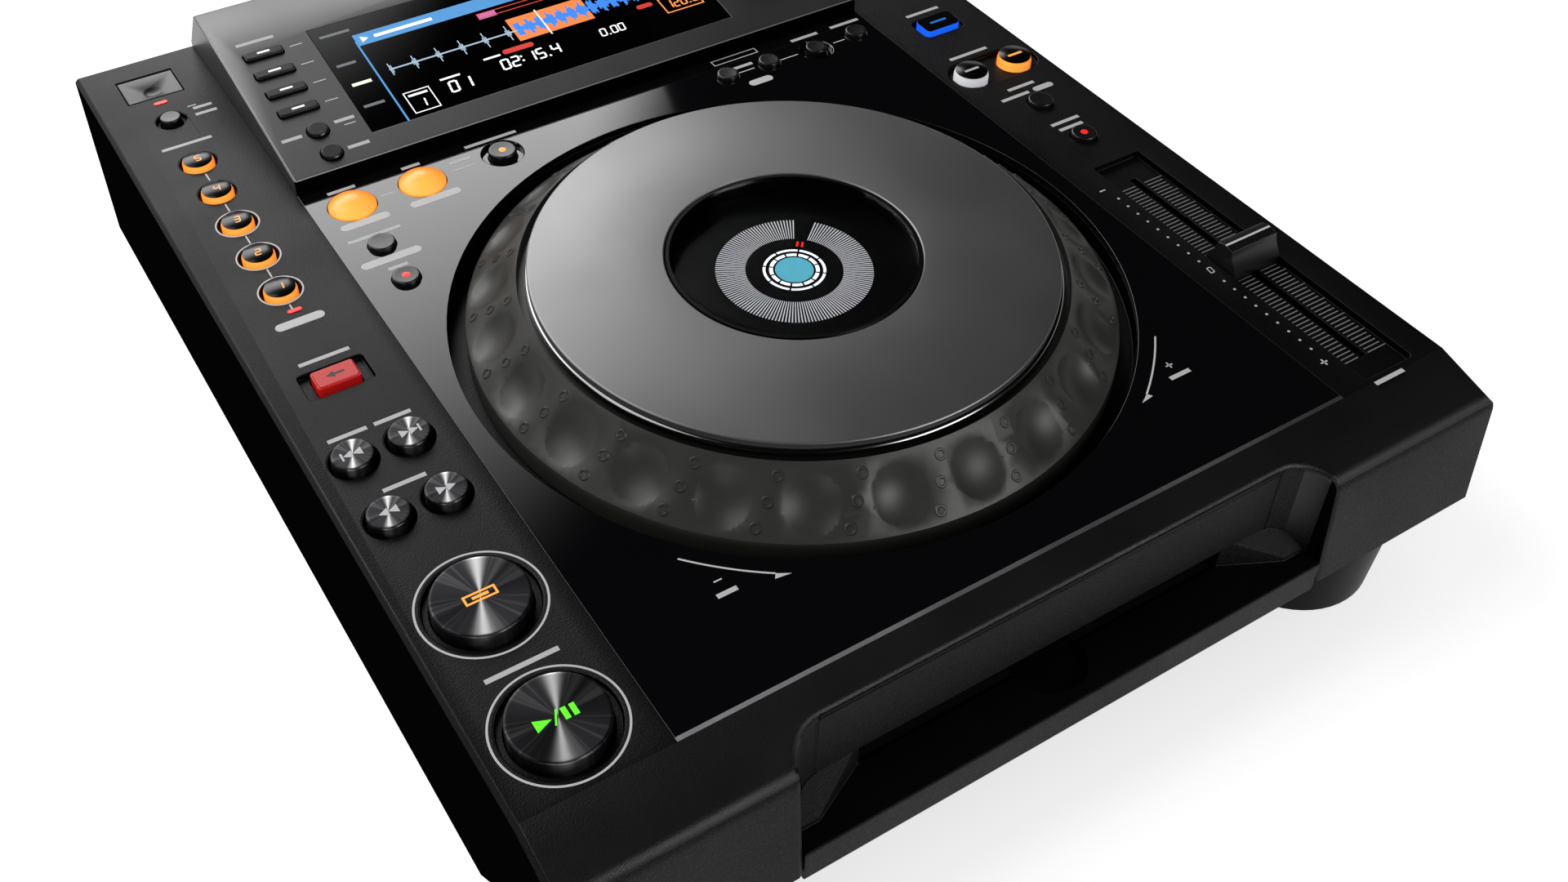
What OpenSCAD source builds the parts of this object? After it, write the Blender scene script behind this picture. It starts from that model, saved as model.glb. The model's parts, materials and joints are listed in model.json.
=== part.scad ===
// Tabletop disc player for DJ use: a slot-loading deck with a large jog wheel.
// Millimetres. +X right, +Y back, +Z up. The origin is on the table under the middle of the body.
// Places on the deck are measured from the jog wheel's centre; a negative y lies in front of it.

/* [Body] */
// Width of the body
body_w = 305; // [300:1:330]
// Width of each key strip beside the deck plate
strip_w = 42.5; // [40:0.5:44]
// Height of the deck above the table
deck_h = 76.5; // [72:0.5:90]
// Height of the rear feet, and of the body's underside above the table
foot_h = 10; // [6:0.5:14]
// Thickness of the side walls
wall_t = 2.5; // [2:0.1:3.5]
// Thickness of the roof over the keys, deck plate included
roof_t = 5.5; // [5:0.1:7]
// Chamfer along the two top side edges
edge_chamfer = 1.3; // [0.5:0.1:2]
// Length of the sloping apron in front of the deck plate, to the front edge
apron_l = 24.1; // [23:0.1:26]
// Drop of the apron at its nose
apron_drop = 5.3; // [4:0.1:7]
// How far the front face leans back from its lower edge to the nose
face_lean = 3.6; // [2:0.1:5]
// Rounding of the nose
nose_r = 5; // [3:0.5:7]
// Height of the front face's lower edge below the deck
chin_drop = 43.5; // [40:0.5:46]
// Depth of the raised chin under the front edge
chin_d = 31; // [28:1:34]
// Run of the slope behind the chin
chin_slope = 24; // [18:1:26]
// Thickness of the floor tray
tray_t = 2; // [1.5:0.1:3]
// Set-back of the rear panel from the body's back edge
rear_setback = 10; // [9:0.5:14]
// Thickness of the rear panel
rear_t = 2; // [1.5:0.1:3]

/* [Feet] */
// Radius of a foot at its top
foot_top_r = 28; // [24:0.5:30]
// Radius of a foot at the table
foot_r = 26; // [20:0.5:28]
// Feet from the side edges to their middles
foot_inset = 34.5; // [32:0.5:50]
// Front feet from the front edge to their middles
foot_front = 31.2; // [30:0.2:36]
// Rear feet from the back edge to their middles
foot_rear = 39; // [34:1:60]

/* [Deck plate] */
// Thickness of the glossy plate
plate_t = 2.5; // [2:0.1:3]
// Width of the light trim strip in front of the plate
trim_w = 1.3; // [1:0.1:2]
// Plate between the well and a key strip, at its narrowest
plate_margin = 6.3; // [5.5:0.1:9]
// Plate and trim strip in front of the well
plate_front_margin = 15.2; // [14:0.1:18]
// Plate between the well and the display block
plate_back_margin = 20.6; // [19:0.1:24]

/* [Jog wheel] */
// Gap between the dial and the wall of its well
dial_gap = 5.2; // [3:0.1:7]
// Depth of the well
jog_well_depth = 8; // [7:0.5:10]
// Width of the dial's sloping flank
flank_run = 16.3; // [15.8:0.1:17]
// Groove between the flank and the touch plate
groove_w = 3.2; // [2.5:0.1:4]
// Height of the touch plate's top above the deck
touch_h = 17.3; // [16.5:0.1:19]
// Thickness of the touch plate
touch_t = 2; // [1.5:0.1:2.5]
// Travel of the touch plate when pressed
touch_travel = 0.4; // [0.3:0.05:0.6]
// Radius of the fixed display window in the middle
centre_r = 38.2; // [36:0.2:40]
// Radius of the hub post
post_r = 20; // [17:0.5:21]
// Radial thickness of the bearing ring
bearing_w = 4; // [3:0.5:5]
// Height of the bearing ring
bearing_h = 14.5; // [12:0.5:14.5]
// Thickness of the display in the middle
centre_t = 7.1; // [6.5:0.1:7.2]
// Thickness of the flange below it
flange_t = 2.5; // [2:0.1:2.5]
// Number of finger dimples
dimple_n = 24; // [12:1:24]
// Circle of dimples from the dial's edge
dimple_inset = 7.9; // [7.5:0.1:9]
// Radius of a dimple's edge
dimple_r = 8.9; // [6:0.1:9.2]
// Depth of a dimple
dimple_depth = 2.2; // [1:0.1:2.6]
// Height of the flank's upper edge above the deck
flank_h = 13.9; // [13:0.1:14.2]

/* [Keys] */
// Travel of a key
key_travel = 1.5; // [1:0.1:1.8]
// Gap round a key
key_gap = 0.3; // [0.25:0.05:0.5]
// Width of the collar that holds a key under the roof
collar_w = 1.2; // [1:0.1:1.5]
// Thickness of that collar
collar_t = 1; // [0.8:0.1:1.5]
// Depth of the shallow wells round some keys
well_depth = 1.6; // [1:0.1:2.2]
// Diameter of the play and cue keys
play_d = 26; // [22:0.5:27]
// Height of the play and cue keys above the deck
play_h = 3.2; // [2:0.1:5]
// Width of the well round the play and cue keys
play_well_w = 2.2; // [1.5:0.1:3]
// Play key from the jog's centre
play_y = -100.2; // [-101:0.1:-96]
// Cue key from the jog's centre
cue_y = -58.1; // [-62:0.1:-55]
// Diameter of the track and search keys
skip_d = 12; // [10:0.5:12.5]
// Height of the track and search keys above the deck
skip_h = 2.6; // [2:0.1:4]
// Track and search keys from the strip's middle line, sideways
skip_x = 8.3; // [8:0.1:8.6]
// Track keys from the jog's centre
track_y = 4.7; // [2:0.1:8]
// Search keys from the jog's centre
search_y = -19.8; // [-23:0.1:-17]
// Diameter of the five loop keys
beat_d = 10.4; // [9:0.1:12]
// Height of the loop keys above the deck
beat_h = 3; // [2:0.1:4]
// First loop key from the jog's centre
beat_y = 82.5; // [80:0.1:84]
// Spacing of the loop keys
beat_pitch = 19.05; // [17:0.05:20]
// Width of the reverse key
reverse_w = 13; // [11:0.5:15]
// Depth of the reverse key
reverse_d = 8; // [7:0.5:9]
// Reverse key from the jog's centre
reverse_y = 38; // [36:0.5:42]
// Diameter of the small keys
small_d = 7.7; // [6:0.1:8]
// Height of the small keys above the deck
small_h = 1.6; // [1:0.1:3]
// Diameter of the two large loop domes
dome_d = 15.5; // [13:0.5:17]
// Height of the loop domes above the deck
dome_h = 3.4; // [2:0.1:4]
// Loop domes from the edge of the jog wheel's well
dome_back = 6.7; // [6:0.1:8]
// Diameter of the sync and master keys
sync_d = 12.4; // [10:0.1:13]
// Height of the sync and master keys above the deck
sync_h = 2.4; // [1.5:0.1:3]
// Width of the jog-mode key
mode_w = 14.6; // [12:0.1:16]
// Depth of the jog-mode key
mode_d = 8.6; // [7:0.1:9]

/* [Tempo fader] */
// Length of the recess round the fader
fader_recess_l = 119; // [117:0.5:121]
// Width of the recess
fader_recess_w = 19.5; // [18:0.5:21]
// Depth of the recess
fader_recess_depth = 2.4; // [1.5:0.1:3]
// Middle of the fader from the jog's centre
fader_y = -57.2; // [-58:0.1:-56]
// Travel of the fader each way from the middle
fader_travel = 48; // [40:1:49]
// Width of the slot
fader_slot_w = 2.2; // [1.8:0.1:3]
// Width of the fader's cap, across the slot
fader_cap_w = 19; // [16:0.5:21]
// Length of the fader's cap, along the slot
fader_cap_l = 12.5; // [10:0.5:14]
// Height of the fader's cap above the deck
fader_cap_h = 8; // [6:0.5:10]

/* [Display block] */
// Height of its front edge above the deck
hump_h1 = 5; // [4:0.5:7]
// Height of its back edge above the deck
hump_h2 = 19.5; // [17:0.5:24]
// Length of its sloping top, measured level
hump_top_l = 90.2; // [88:0.1:92]
// Length of its slope down to the back edge, measured level
hump_back_run = 14.5; // [12:0.1:18]
// Thickness of its walls
hump_wall = 3; // [2.5:0.1:3.5]
// Plate width that the display window leaves for the keys beside it
window_sides = 79.5; // [78:0.5:90]
// Length of the display window along the slope
window_l = 56.5; // [50:0.5:57]
// Thickness of the display window
window_t = 1.5; // [1:0.1:2]
// Middle of the window from the middle of the body
window_x = -7.8; // [-9:0.1:-7]
// Front edge of the window from the block's front edge
window_s = 11.5; // [11:0.1:12]
// Width of the side and top keys of the display
tab_w = 13.5; // [11:0.5:14]
// Depth of the side and top keys
tab_d = 4; // [3:0.1:4.5]
// Height of the side and top keys
tab_h = 1.2; // [0.8:0.1:2]
// Diameter of the rotary selector
selector_d = 18; // [14:0.5:20]
// Height of the rotary selector
selector_h = 12; // [8:0.5:14]

/* [Disc slot] */
// Width of the recess in the front, between its two side walls
pocket_w = 176.6; // [170:0.5:180]
// Depth of the recess from the front edge
pocket_d = 14.1; // [13.5:0.1:16]
// Rounding of the recess's inner corners
pocket_r = 12; // [8:0.5:13]
// Width of the disc slot
slot_w = 124; // [123:0.5:130]
// Height of the disc slot
slot_h = 6; // [5.4:0.1:6.5]
// Height of the slot's middle below the deck
slot_drop = 31; // [30:0.1:32]
// Depth of the slot block
bezel_d = 31; // [30:0.5:32]
// Radius of the finger notch in the shelf
notch_r = 11; // [9:0.5:13]
// Depth of the finger notch below the shelf
notch_depth = 2.5; // [1.5:0.5:4]
// Centre of a seated disc behind the front edge
disc_in = 101; // [99:0.5:104]

/* [Hidden] */

matte = "#1a1a1b";
gloss = "#0b0b0c";
satin = "#77787a";
metal = "#b8babd";
amber = "#f08a1c";
red = "#b3161b";
board = "#1f5a35";

eps = 0.01;
round_n = 96;
arc_n = 10;
small_arc_n = 5;
bevel = 0.4;
shaft_gap = 0.05;

// The deck's plan follows from the width. Places beside the jog wheel are given for a well
// of plan_r and stretch with it.
plan_r = 103.7;
plate_w = body_w - 2 * strip_w;
jog_well_r = plate_w / 2 - plate_margin;
stretch = jog_well_r / plan_r;
dial_r = jog_well_r - dial_gap;
flank_r = dial_r - flank_run;
touch_r = flank_r - groove_w;
dimple_ring_r = dial_r - dimple_inset;
jog_front = apron_l + plate_front_margin + jog_well_r;
hump_front = jog_well_r + plate_back_margin;
body_d = jog_front + hump_front + hump_top_l + hump_back_run;

// Levels and lines that several pieces share
front_y = -body_d / 2;
back_y = body_d / 2;
jog_y = front_y + jog_front;
strip_x = (body_w - strip_w) / 2;
roof_z = deck_h - roof_t;
plate_z = deck_h - plate_t;
chin_z = deck_h - chin_drop;
rear_y = back_y - rear_setback;
foot_x = body_w / 2 - foot_inset;
trim_y = front_y + apron_l;
plate_y = trim_y + trim_w;
hump_y = jog_y + hump_front;
hump_tilt = atan2(hump_h2 - hump_h1, hump_top_l);

// Outline of the body seen from the side, as y and z
nose = [front_y + face_lean, deck_h - apron_drop];
chin = [front_y, chin_z];
chin_under = chin_z - bevel;
chin_back = front_y + chin_d;
slope_end = chin_back + chin_slope;
slope_tilt = atan2(chin_under - foot_h, chin_slope);
case_outline = concat([[back_y, foot_h], [back_y, deck_h], [trim_y, deck_h]],
  rounded([trim_y, deck_h], nose, chin, nose_r),
  [chin, [front_y + bevel, chin_under], [chin_back, chin_under], [slope_end, foot_h]]);

// Recess and slot in the front
pocket_y = front_y + pocket_d;
fascia_top = deck_h - 4.5;
fascia_low = deck_h - 26.3;
slot_z = deck_h - slot_drop;
slot_low = slot_z - slot_h / 2;
slot_high = slot_z + slot_h / 2;
slot_lip = 1.2;
lip_y = pocket_y + 1.5;
shelf_z = slot_low - slot_lip;
bezel_z = deck_h - 46.8;
bezel_back = front_y + bezel_d;
cheek_run = 18;
cheek_y = pocket_y - 7.3;

// Boards under the keys, and what the keys press on
board_t = 1.6;
board_gap = 0.3;
switch_drop = key_gap + collar_t + key_travel + board_gap;
well_wall = 2.3;

// Disc drive, around the middle plane of the disc
disc_r = 60;
disc_y = front_y + disc_in;
drive_front = bezel_back + 6;
drive_back = disc_y + disc_r + 6;
drive_w = 140;
drive_wall = 3;
rail_foot_w = 12;
drive_low = slot_z - 14;
drive_top = slot_z + 7;
drive_deck_t = 2.5;
drive_deck_z = slot_z - 3.5;
spindle_r = 1.5;
motor_r = 12;
motor_h = 7;
table_r = 15;
disc_t = 1.2;
hub_r = 7.4;
roller_r = 4;
roller_w = 118;
roller_pin_r = 2;
roller_y = drive_front + 7;
roller_z = slot_z - disc_t / 2 - roller_r - 0.2;
rod_r = 1.5;
rod_x = 13;
rod_z = slot_z - 9;
sled_w = 34;
sled_l = 14;
sled_travel = 30;
sled_y = disc_y + table_r + 2 + sled_l / 2;

// Lidded port at the back of the left strip, in front of the rear panel
port_w = 15.6;
port_l = 8.6;
port_h = 18;
port_wall = 1.3;
port_gap = 0.6;
cover_w = 19;
cover_l = 15;
cover_t = 2;
cover_y = rear_y - rear_t - jog_y - port_l / 2 - port_wall - port_gap;
cover_hinge_r = cover_t / 2;
cover_pin_r = 0.5;
cover_pin_l = 1.5;
cover_axis_y = cover_y + cover_l / 2 - cover_hinge_r;

// Keys of the glossy plate: x and y from the jog's centre, then the diameter
plate_edge = plate_w / 2;
dome_y = jog_well_r + dome_back;
key_row_y = dome_y + 1.2;
loop_in = [13.4 - plate_edge, dome_y, dome_d];
loop_out = [37.8 - plate_edge, dome_y, dome_d];
reloop = [67.3 - plate_edge, dome_y + 0.9, 9.5];
four_beat = [13.7 - plate_edge, dome_y - 23.4, small_d + 1];
slip = [13.7 - plate_edge, dome_y - 42.3, small_d + 1];
call_back = [plate_edge - 63.9, key_row_y, small_d];
call_forward = [plate_edge - 46.5, key_row_y, small_d];
delete = [plate_edge - 27.2, dome_y - 0.4, small_d];
memory = [plate_edge - 8.6, key_row_y, small_d];
plate_keys = [loop_in, loop_out, reloop, four_beat, slip, call_back, call_forward, delete, memory];
reloop_well = 14;
delete_well = 12;

// Keys of the two matte strips
play = [-strip_x, stretch * play_y, play_d];
cue = [-strip_x, stretch * cue_y, play_d];
search_back = [-strip_x - skip_x, stretch * search_y, skip_d];
search_forward = [-strip_x + skip_x, stretch * search_y, skip_d];
track_back = [-strip_x - skip_x, stretch * track_y, skip_d];
track_forward = [-strip_x + skip_x, stretch * track_y, skip_d];
usb_stop = [-strip_x, cover_y - 23.8, small_d - 0.7];
sync_x = 9.8;
sync = [strip_x - sync_x, stretch * 68, sync_d];
master = [strip_x + sync_x, sync[1], sync_d];
tempo_range = [strip_x, stretch * 41.4, small_d + 1];
master_tempo = [strip_x, stretch * 18.3, small_d + 1];
eject = [strip_x, cover_y - 12.8, small_d + 3];
jog_mode = [strip_x, stretch * 100.9];
reverse = [-strip_x, stretch * reverse_y];
function beat(i) = [-strip_x, stretch * (beat_y + i * beat_pitch), beat_d];
skip_keys = [search_back, search_forward, track_back, track_forward];
strip_keys = concat([play, cue, usb_stop, sync, master, tempo_range, master_tempo, eject],
  skip_keys, [for (i = [0:4]) beat(i)]);
play_well_d = play_d + 2 * play_well_w;
skip_well_d = skip_d + 2;
usb_stop_well = 10;
beat_well_d = beat_d + 1.6;

// Display block: keys and knob as x and the distance up the slope
window_w = plate_w - window_sides;
side_key_x = 14.3 - plate_edge;
side_key_s = 31.9;
side_key_pitch = 10.35;
small_key_x = 16.2 - plate_edge;
quantize_s = 8;
time_s = 19.7;
hump_key_d = 7;
selector = [plate_edge - 22, 45];
selector_shaft_r = 3;
selector_seat = 0.3;
lcd_t = 3;

// Main board on the floor tray
main_board_y = rear_y - 86;
main_board_z = foot_h + 12;
main_board_w = body_w - 55;
main_board_d = 100;
main_board_post_x = 60;
main_board_post_y = 35;
strip_board_w = strip_w - 5.5;
strip_board_back = rear_y - 18;

// Fader below the cap
fader_blade_l = 4.4;
fader_slot_l = 2 * stretch * fader_travel + fader_blade_l + 2 * key_gap;
fader_middle = stretch * fader_y;
fader_body_w = 14;
fader_body_h = 12;
fader_neck = 3;
fader_channel_w = 8;
fader_channel_h = 6;

// Sockets of the rear panel: x of each, and their common height
socket_z = foot_h + 22;
phono_x = [-70, -54, -34];
phono_r = 4.15;
phono_bore_r = 1.65;
phono_l = 8;
jack_x = -14;
jack_r = 3.2;
jack_bore_r = 1.78;
jack_l = 1;
bore_depth = 12;
net_x = 10;
net = [16, 13.5];
net_open = [11.8, 8.4];
link_x = 36;
link = [12.4, 11.4];
link_open = [8.6, 7.8];
inlet_x = 112;
inlet = [28, 21];
inlet_open = [24.4, 16.6];
switch_x = 78;
switch_frame = [15, 22];
rocker = [11, 17];
rocker_tilt = 7;
rocker_depth = 5;
rocker_pin_r = 1;
socket_depth = 14;

// Screws that hold the floor tray
screw_r = 1.5;
screw_head_r = 2.8;
screw_head_h = 1.6;
screw_l = 12;
post_x = body_w / 2 - wall_t - 3.5;
case_post_r = 4;
post_inset = 12;
post_rows = [slope_end + post_inset, jog_y + jog_well_r / 2, rear_y - post_inset];
case_posts = [for (x = [-post_x, post_x], y = post_rows) [x, y]];

// ---- helpers -------------------------------------------------------------------------------

// Points of the corner b between a and c, rounded to radius r.
function unit(v) = v / norm(v);
function rounded(a, b, c, r, n = arc_n) =
  let (u = unit(a - b), w = unit(c - b), half = acos(u * w) / 2,
    centre = b + unit(u + w) * r / sin(half), start = b + u * r / tan(half) - centre,
    finish = b + w * r / tan(half) - centre, from = atan2(start[1], start[0]),
    turn = atan2(finish[1], finish[0]) - from, sweep = turn - 360 * round(turn / 360))
  [for (i = [0:n]) centre + r * [cos(from + sweep * i / n), sin(from + sweep * i / n)]];

// Points of a rectangle with rounded corners, centred on the origin.
function rounded_box(w, d, r, n = arc_n) =
  let (p = [[-w / 2, -d / 2], [w / 2, -d / 2], [w / 2, d / 2], [-w / 2, d / 2]])
  [for (i = [0:3]) each rounded(p[(i + 3) % 4], p[i], p[(i + 1) % 4], r, n)];

// Puts its children on the deck at x and y from the jog's centre, with z = 0 on the deck.
module on_deck(at) {
  translate([at[0], jog_y + at[1], deck_h]) children();
}

// Puts its children on the sloping top of the display block, s up from its front edge.
module on_hump(x, s) {
  translate([x, hump_y, deck_h + hump_h1]) rotate([hump_tilt, 0, 0]) translate([0, s, 0]) children();
}

// Extrudes a side outline, given as y and z, over the width w.
module along_x(w) {
  translate([-w / 2, 0, 0]) rotate([90, 0, 90]) linear_extrude(w) children();
}

// Puts a shape drawn upwards on the rear panel, pointing backwards.
module on_rear(x, z) {
  translate([x, rear_y, z]) rotate([-90, 0, 0]) children();
}

module block(w, d, z1, z2) {
  translate([-w / 2, -d / 2, z1]) cube([w, d, z2 - z1]);
}

module disc(d, z1, z2) {
  translate([0, 0, z1]) cylinder(d = d, h = z2 - z1, $fn = round_n);
}

module pad(w, d, r, z1, z2) {
  translate([0, 0, z1]) linear_extrude(z2 - z1) polygon(rounded_box(w, d, r, small_arc_n));
}

// A round key with a bevelled top, held by a collar under a roof of thickness roof.
module round_key(d, h, roof = roof_t) {
  under = -roof - key_gap;
  rotate_extrude($fn = round_n)
    polygon([[0, under - collar_t], [d / 2 + collar_w, under - collar_t], [d / 2 + collar_w, under],
      [d / 2, under], [d / 2, h - bevel], [d / 2 - bevel, h], [0, h]]);
}

// A key like round_key whose top is a shallow dome.
module dome_key(d, h) {
  under = -roof_t - key_gap;
  rise = h - bevel;
  dome_r = (d * d / 4 + rise * rise) / (2 * rise);
  open = asin(d / 2 / dome_r);
  rotate_extrude($fn = round_n)
    polygon(concat([[0, under - collar_t], [d / 2 + collar_w, under - collar_t],
      [d / 2 + collar_w, under], [d / 2, under]],
      [for (i = [0:arc_n]) let (a = open * (1 - i / arc_n))
        [dome_r * sin(a), bevel + rise - dome_r + dome_r * cos(a)]]));
}

// An oblong key with its collar, under a roof of thickness roof.
module oblong_key(w, d, r, h, roof = roof_t) {
  under = -roof - key_gap;
  union() {
    pad(w, d, r, under, h - bevel);
    pad(w - 2 * bevel, d - 2 * bevel, r, h - bevel, h);
    block(w + 2 * collar_w, d + 2 * collar_w, under - collar_t, under);
  }
}

module round_hole(d, roof = roof_t) {
  disc(d + 2 * key_gap, -roof - eps, eps);
}

module oblong_hole(w, d, r, roof = roof_t) {
  pad(w + 2 * key_gap, d + 2 * key_gap, r + key_gap, -roof - eps, eps);
}

// A shallow round well with a bevelled edge, cut from the deck.
module round_well(d) {
  rotate_extrude($fn = round_n)
    polygon([[0, -well_depth], [d / 2, -well_depth], [d / 2, -bevel], [d / 2 + bevel + eps, eps], [0, eps]]);
}

module oblong_well(w, d, r) {
  pad(w, d, r, -well_depth, eps);
}

// ---- body ----------------------------------------------------------------------------------

// Bevels the top side edges, along the deck and down the apron.
module side_bevels() {
  size = edge_chamfer * sqrt(2);
  apron_tilt = atan2(apron_drop, apron_l - face_lean);
  for (x = [-body_w / 2, body_w / 2]) {
    translate([x, trim_y + body_d / 2, deck_h]) rotate([0, 45, 0]) cube([size, body_d, size], center = true);
    translate([x, trim_y, deck_h]) rotate([apron_tilt, 0, 0]) translate([0, -body_d / 2, 0])
      rotate([0, 45, 0]) cube([size, body_d, size], center = true);
  }
}

// The recess in the front, open at the top, with the bay behind it that takes the slot block.
module front_pocket(over = 0) {
  w = pocket_w / 2;
  out = front_y - 1;
  translate([0, 0, bezel_z - 1]) linear_extrude(deck_h - bezel_z + 2)
    polygon(concat([[-w, out]], rounded([-w, out], [-w, pocket_y], [w, pocket_y], pocket_r),
      rounded([-w, pocket_y], [w, pocket_y], [w, out], pocket_r), [[w, out]]));
  translate([-w, pocket_y, bezel_z - 1])
    cube([pocket_w, bezel_back - pocket_y + over, fascia_top - bezel_z + 1]);
}

// The room inside the case: behind the slot block, and in the two side pillars of the recess.
module case_room() {
  room_w = body_w - 2 * wall_t;
  leg_w = (body_w - pocket_w) / 2 - 2 * wall_t;
  leg_y = nose[0] + 2 * wall_t;
  leg_top = nose[1] - 2 * wall_t;
  high_y = jog_y + min(play[1] - play_d / 2 - collar_w, fader_middle - fader_slot_l / 2) - 1;
  translate([-room_w / 2, bezel_back, 0]) cube([room_w, body_d, roof_z]);
  for (side = [-1, 1]) translate([side * (pocket_w + body_w) / 4 - leg_w / 2, 0, chin_z + wall_t]) {
    translate([0, leg_y, 0]) cube([leg_w, bezel_back - leg_y + eps, leg_top - chin_z - wall_t]);
    translate([0, high_y, 0]) cube([leg_w, bezel_back - high_y + eps, roof_z - chin_z - wall_t]);
  }
}

module case_posts_solid() {
  floor_z = foot_h + tray_t;
  for (p = case_posts)
    translate([p[0], p[1], floor_z]) cylinder(r = case_post_r, h = roof_z - floor_z + eps, $fn = round_n);
}

module jog_cup() {
  on_deck([0, 0]) disc(2 * (jog_well_r + well_wall), -jog_well_depth - well_wall, -plate_t);
}

module fader_cuts() {
  on_deck([strip_x, fader_middle]) {
    pad(fader_recess_w, stretch * fader_recess_l, 1.5, -fader_recess_depth, eps);
    block(fader_slot_w, fader_slot_l, -roof_t - eps, 0);
  }
}

module port_cuts() {
  on_deck([-strip_x, cover_y]) {
    block(cover_w + 2 * key_gap, cover_l + 2 * key_gap, -cover_t - key_gap, eps);
    block(port_w, port_l, -roof_t - eps, 0);
  }
  on_deck([-strip_x, cover_axis_y])
    cover_rod(cover_pin_r + shaft_gap, cover_w + 2 * cover_pin_l + 2 * key_gap);
}

// A rod along the cover's hinge.
module cover_rod(r, l) {
  translate([-l / 2, 0, -cover_hinge_r]) rotate([0, 90, 0]) cylinder(r = r, h = l, $fn = round_n);
}

// Everything that is cut into the two strips for keys, fader and port.
module strip_cuts() {
  for (k = strip_keys) on_deck(k) round_hole(k[2]);
  for (k = [play, cue]) on_deck(k) round_well(play_well_d);
  for (k = skip_keys) on_deck(k) round_well(skip_well_d);
  for (i = [0:4]) on_deck(beat(i)) round_well(beat_well_d);
  on_deck(usb_stop) round_well(usb_stop_well);
  on_deck(reverse) oblong_hole(reverse_w, reverse_d, 1);
  on_deck(reverse) oblong_well(reverse_w + 7, reverse_d + 3.6, 1.5);
  on_deck(jog_mode) oblong_hole(mode_w, mode_d, 1.5);
  on_deck(jog_mode) oblong_well(mode_w + 3, mode_d + 3, 2.5);
  on_deck([strip_x, sync[1]]) oblong_well(2 * sync_x + sync_d + 4, sync_d + 4, 7.5);
  fader_cuts();
  port_cuts();
}

module plate_cuts() {
  for (k = plate_keys) on_deck(k) round_hole(k[2]);
  on_deck(reloop) round_well(reloop_well);
  on_deck(delete) round_well(delete_well);
}

module top_case() {
  color(matte) difference() {
    union() {
      difference() {
        along_x(body_w) polygon(case_outline);
        side_bevels();
        case_room();
      }
      case_posts_solid();
      jog_cup();
    }
    front_pocket(eps);
    translate([-plate_w / 2, trim_y, plate_z]) cube([plate_w, body_d, plate_t + 20]);
    on_deck([0, 0]) disc(2 * jog_well_r, -jog_well_depth, 1);
    strip_cuts();
    plate_cuts();
    for (p = case_posts)
      translate([p[0], p[1], foot_h]) cylinder(r = screw_r + shaft_gap, h = screw_l + 2, $fn = round_n);
  }
}

module base_tray() {
  slope_t = tray_t / cos(slope_tilt);
  inner_end = slope_end + (slope_t - tray_t) / tan(slope_tilt);
  start_z = chin_under - (bezel_back - chin_back) * tan(slope_tilt);
  floor_z = foot_h + tray_t;
  color(matte) difference() {
    union() {
      along_x(body_w - 2 * wall_t) polygon([[rear_y, foot_h], [slope_end, foot_h], [bezel_back, start_z],
        [bezel_back, start_z + slope_t], [inner_end, floor_z], [rear_y, floor_z]]);
      for (x = [-1, 1], y = [slope_end + 8, drive_back - 8])
        translate([x * (drive_w - rail_foot_w) / 2, y, floor_z - eps])
          cylinder(r = 4.5, h = drive_low - floor_z + eps, $fn = round_n);
      for (x = [-main_board_post_x, main_board_post_x], y = [-main_board_post_y, main_board_post_y])
        translate([x, main_board_y + y, floor_z - eps])
          cylinder(r = 3, h = main_board_z - floor_z + eps, $fn = round_n);
    }
    for (p = case_posts)
      translate([p[0], p[1], 0]) cylinder(r = screw_r + 2 * shaft_gap, h = deck_h, $fn = round_n);
  }
}

module deck_plate() {
  color(gloss) difference() {
    translate([-plate_w / 2, plate_y, plate_z]) cube([plate_w, hump_y - plate_y, plate_t]);
    on_deck([0, 0]) disc(2 * jog_well_r, -plate_t - 1, 1);
    plate_cuts();
  }
}

module trim_strip() {
  color(metal) translate([-plate_w / 2, trim_y, plate_z]) cube([plate_w, trim_w, plate_t]);
}

// The side of the slot: level with the fascia's lower edge at the back, sloping to the shelf in front.
module slot_cheek() {
  foot_z = shelf_z - 2;
  intersection() {
    translate([0, 0, foot_z]) linear_extrude(fascia_low - foot_z + 2)
      polygon([[slot_w / 2, bezel_back], [slot_w / 2, lip_y], [slot_w / 2 + cheek_run, cheek_y],
        [pocket_w / 2, cheek_y], [pocket_w / 2, bezel_back]]);
    along_x(pocket_w) polygon([[bezel_back, foot_z], [cheek_y - 1, foot_z], [cheek_y - 1, shelf_z],
      [pocket_y, fascia_low], [pocket_y + 1, fascia_low + 2], [bezel_back, fascia_low + 2]]);
  }
}

// The block round the disc slot: fascia above, flared mouth, and the shelf below with its notch.
module front_bezel() {
  shelf_y = front_y + bevel;
  color(matte) difference() {
    intersection() {
      union() {
        along_x(pocket_w) polygon([[bezel_back, bezel_z], [shelf_y + bevel, bezel_z],
          [shelf_y, bezel_z + bevel], [shelf_y, shelf_z - bevel], [shelf_y + bevel, shelf_z],
          [lip_y, shelf_z], [lip_y + 1, shelf_z - slot_lip], [bezel_back, slot_low]]);
        along_x(pocket_w) polygon([[bezel_back, slot_high], [pocket_y, fascia_low],
          [pocket_y, fascia_top], [bezel_back, fascia_top]]);
        for (side = [0, 1]) mirror([side, 0, 0]) slot_cheek();
      }
      front_pocket();
    }
    translate([0, lip_y, shelf_z - notch_depth])
      cylinder(r = notch_r, h = slot_high - shelf_z + notch_depth, $fn = round_n);
  }
}

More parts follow.
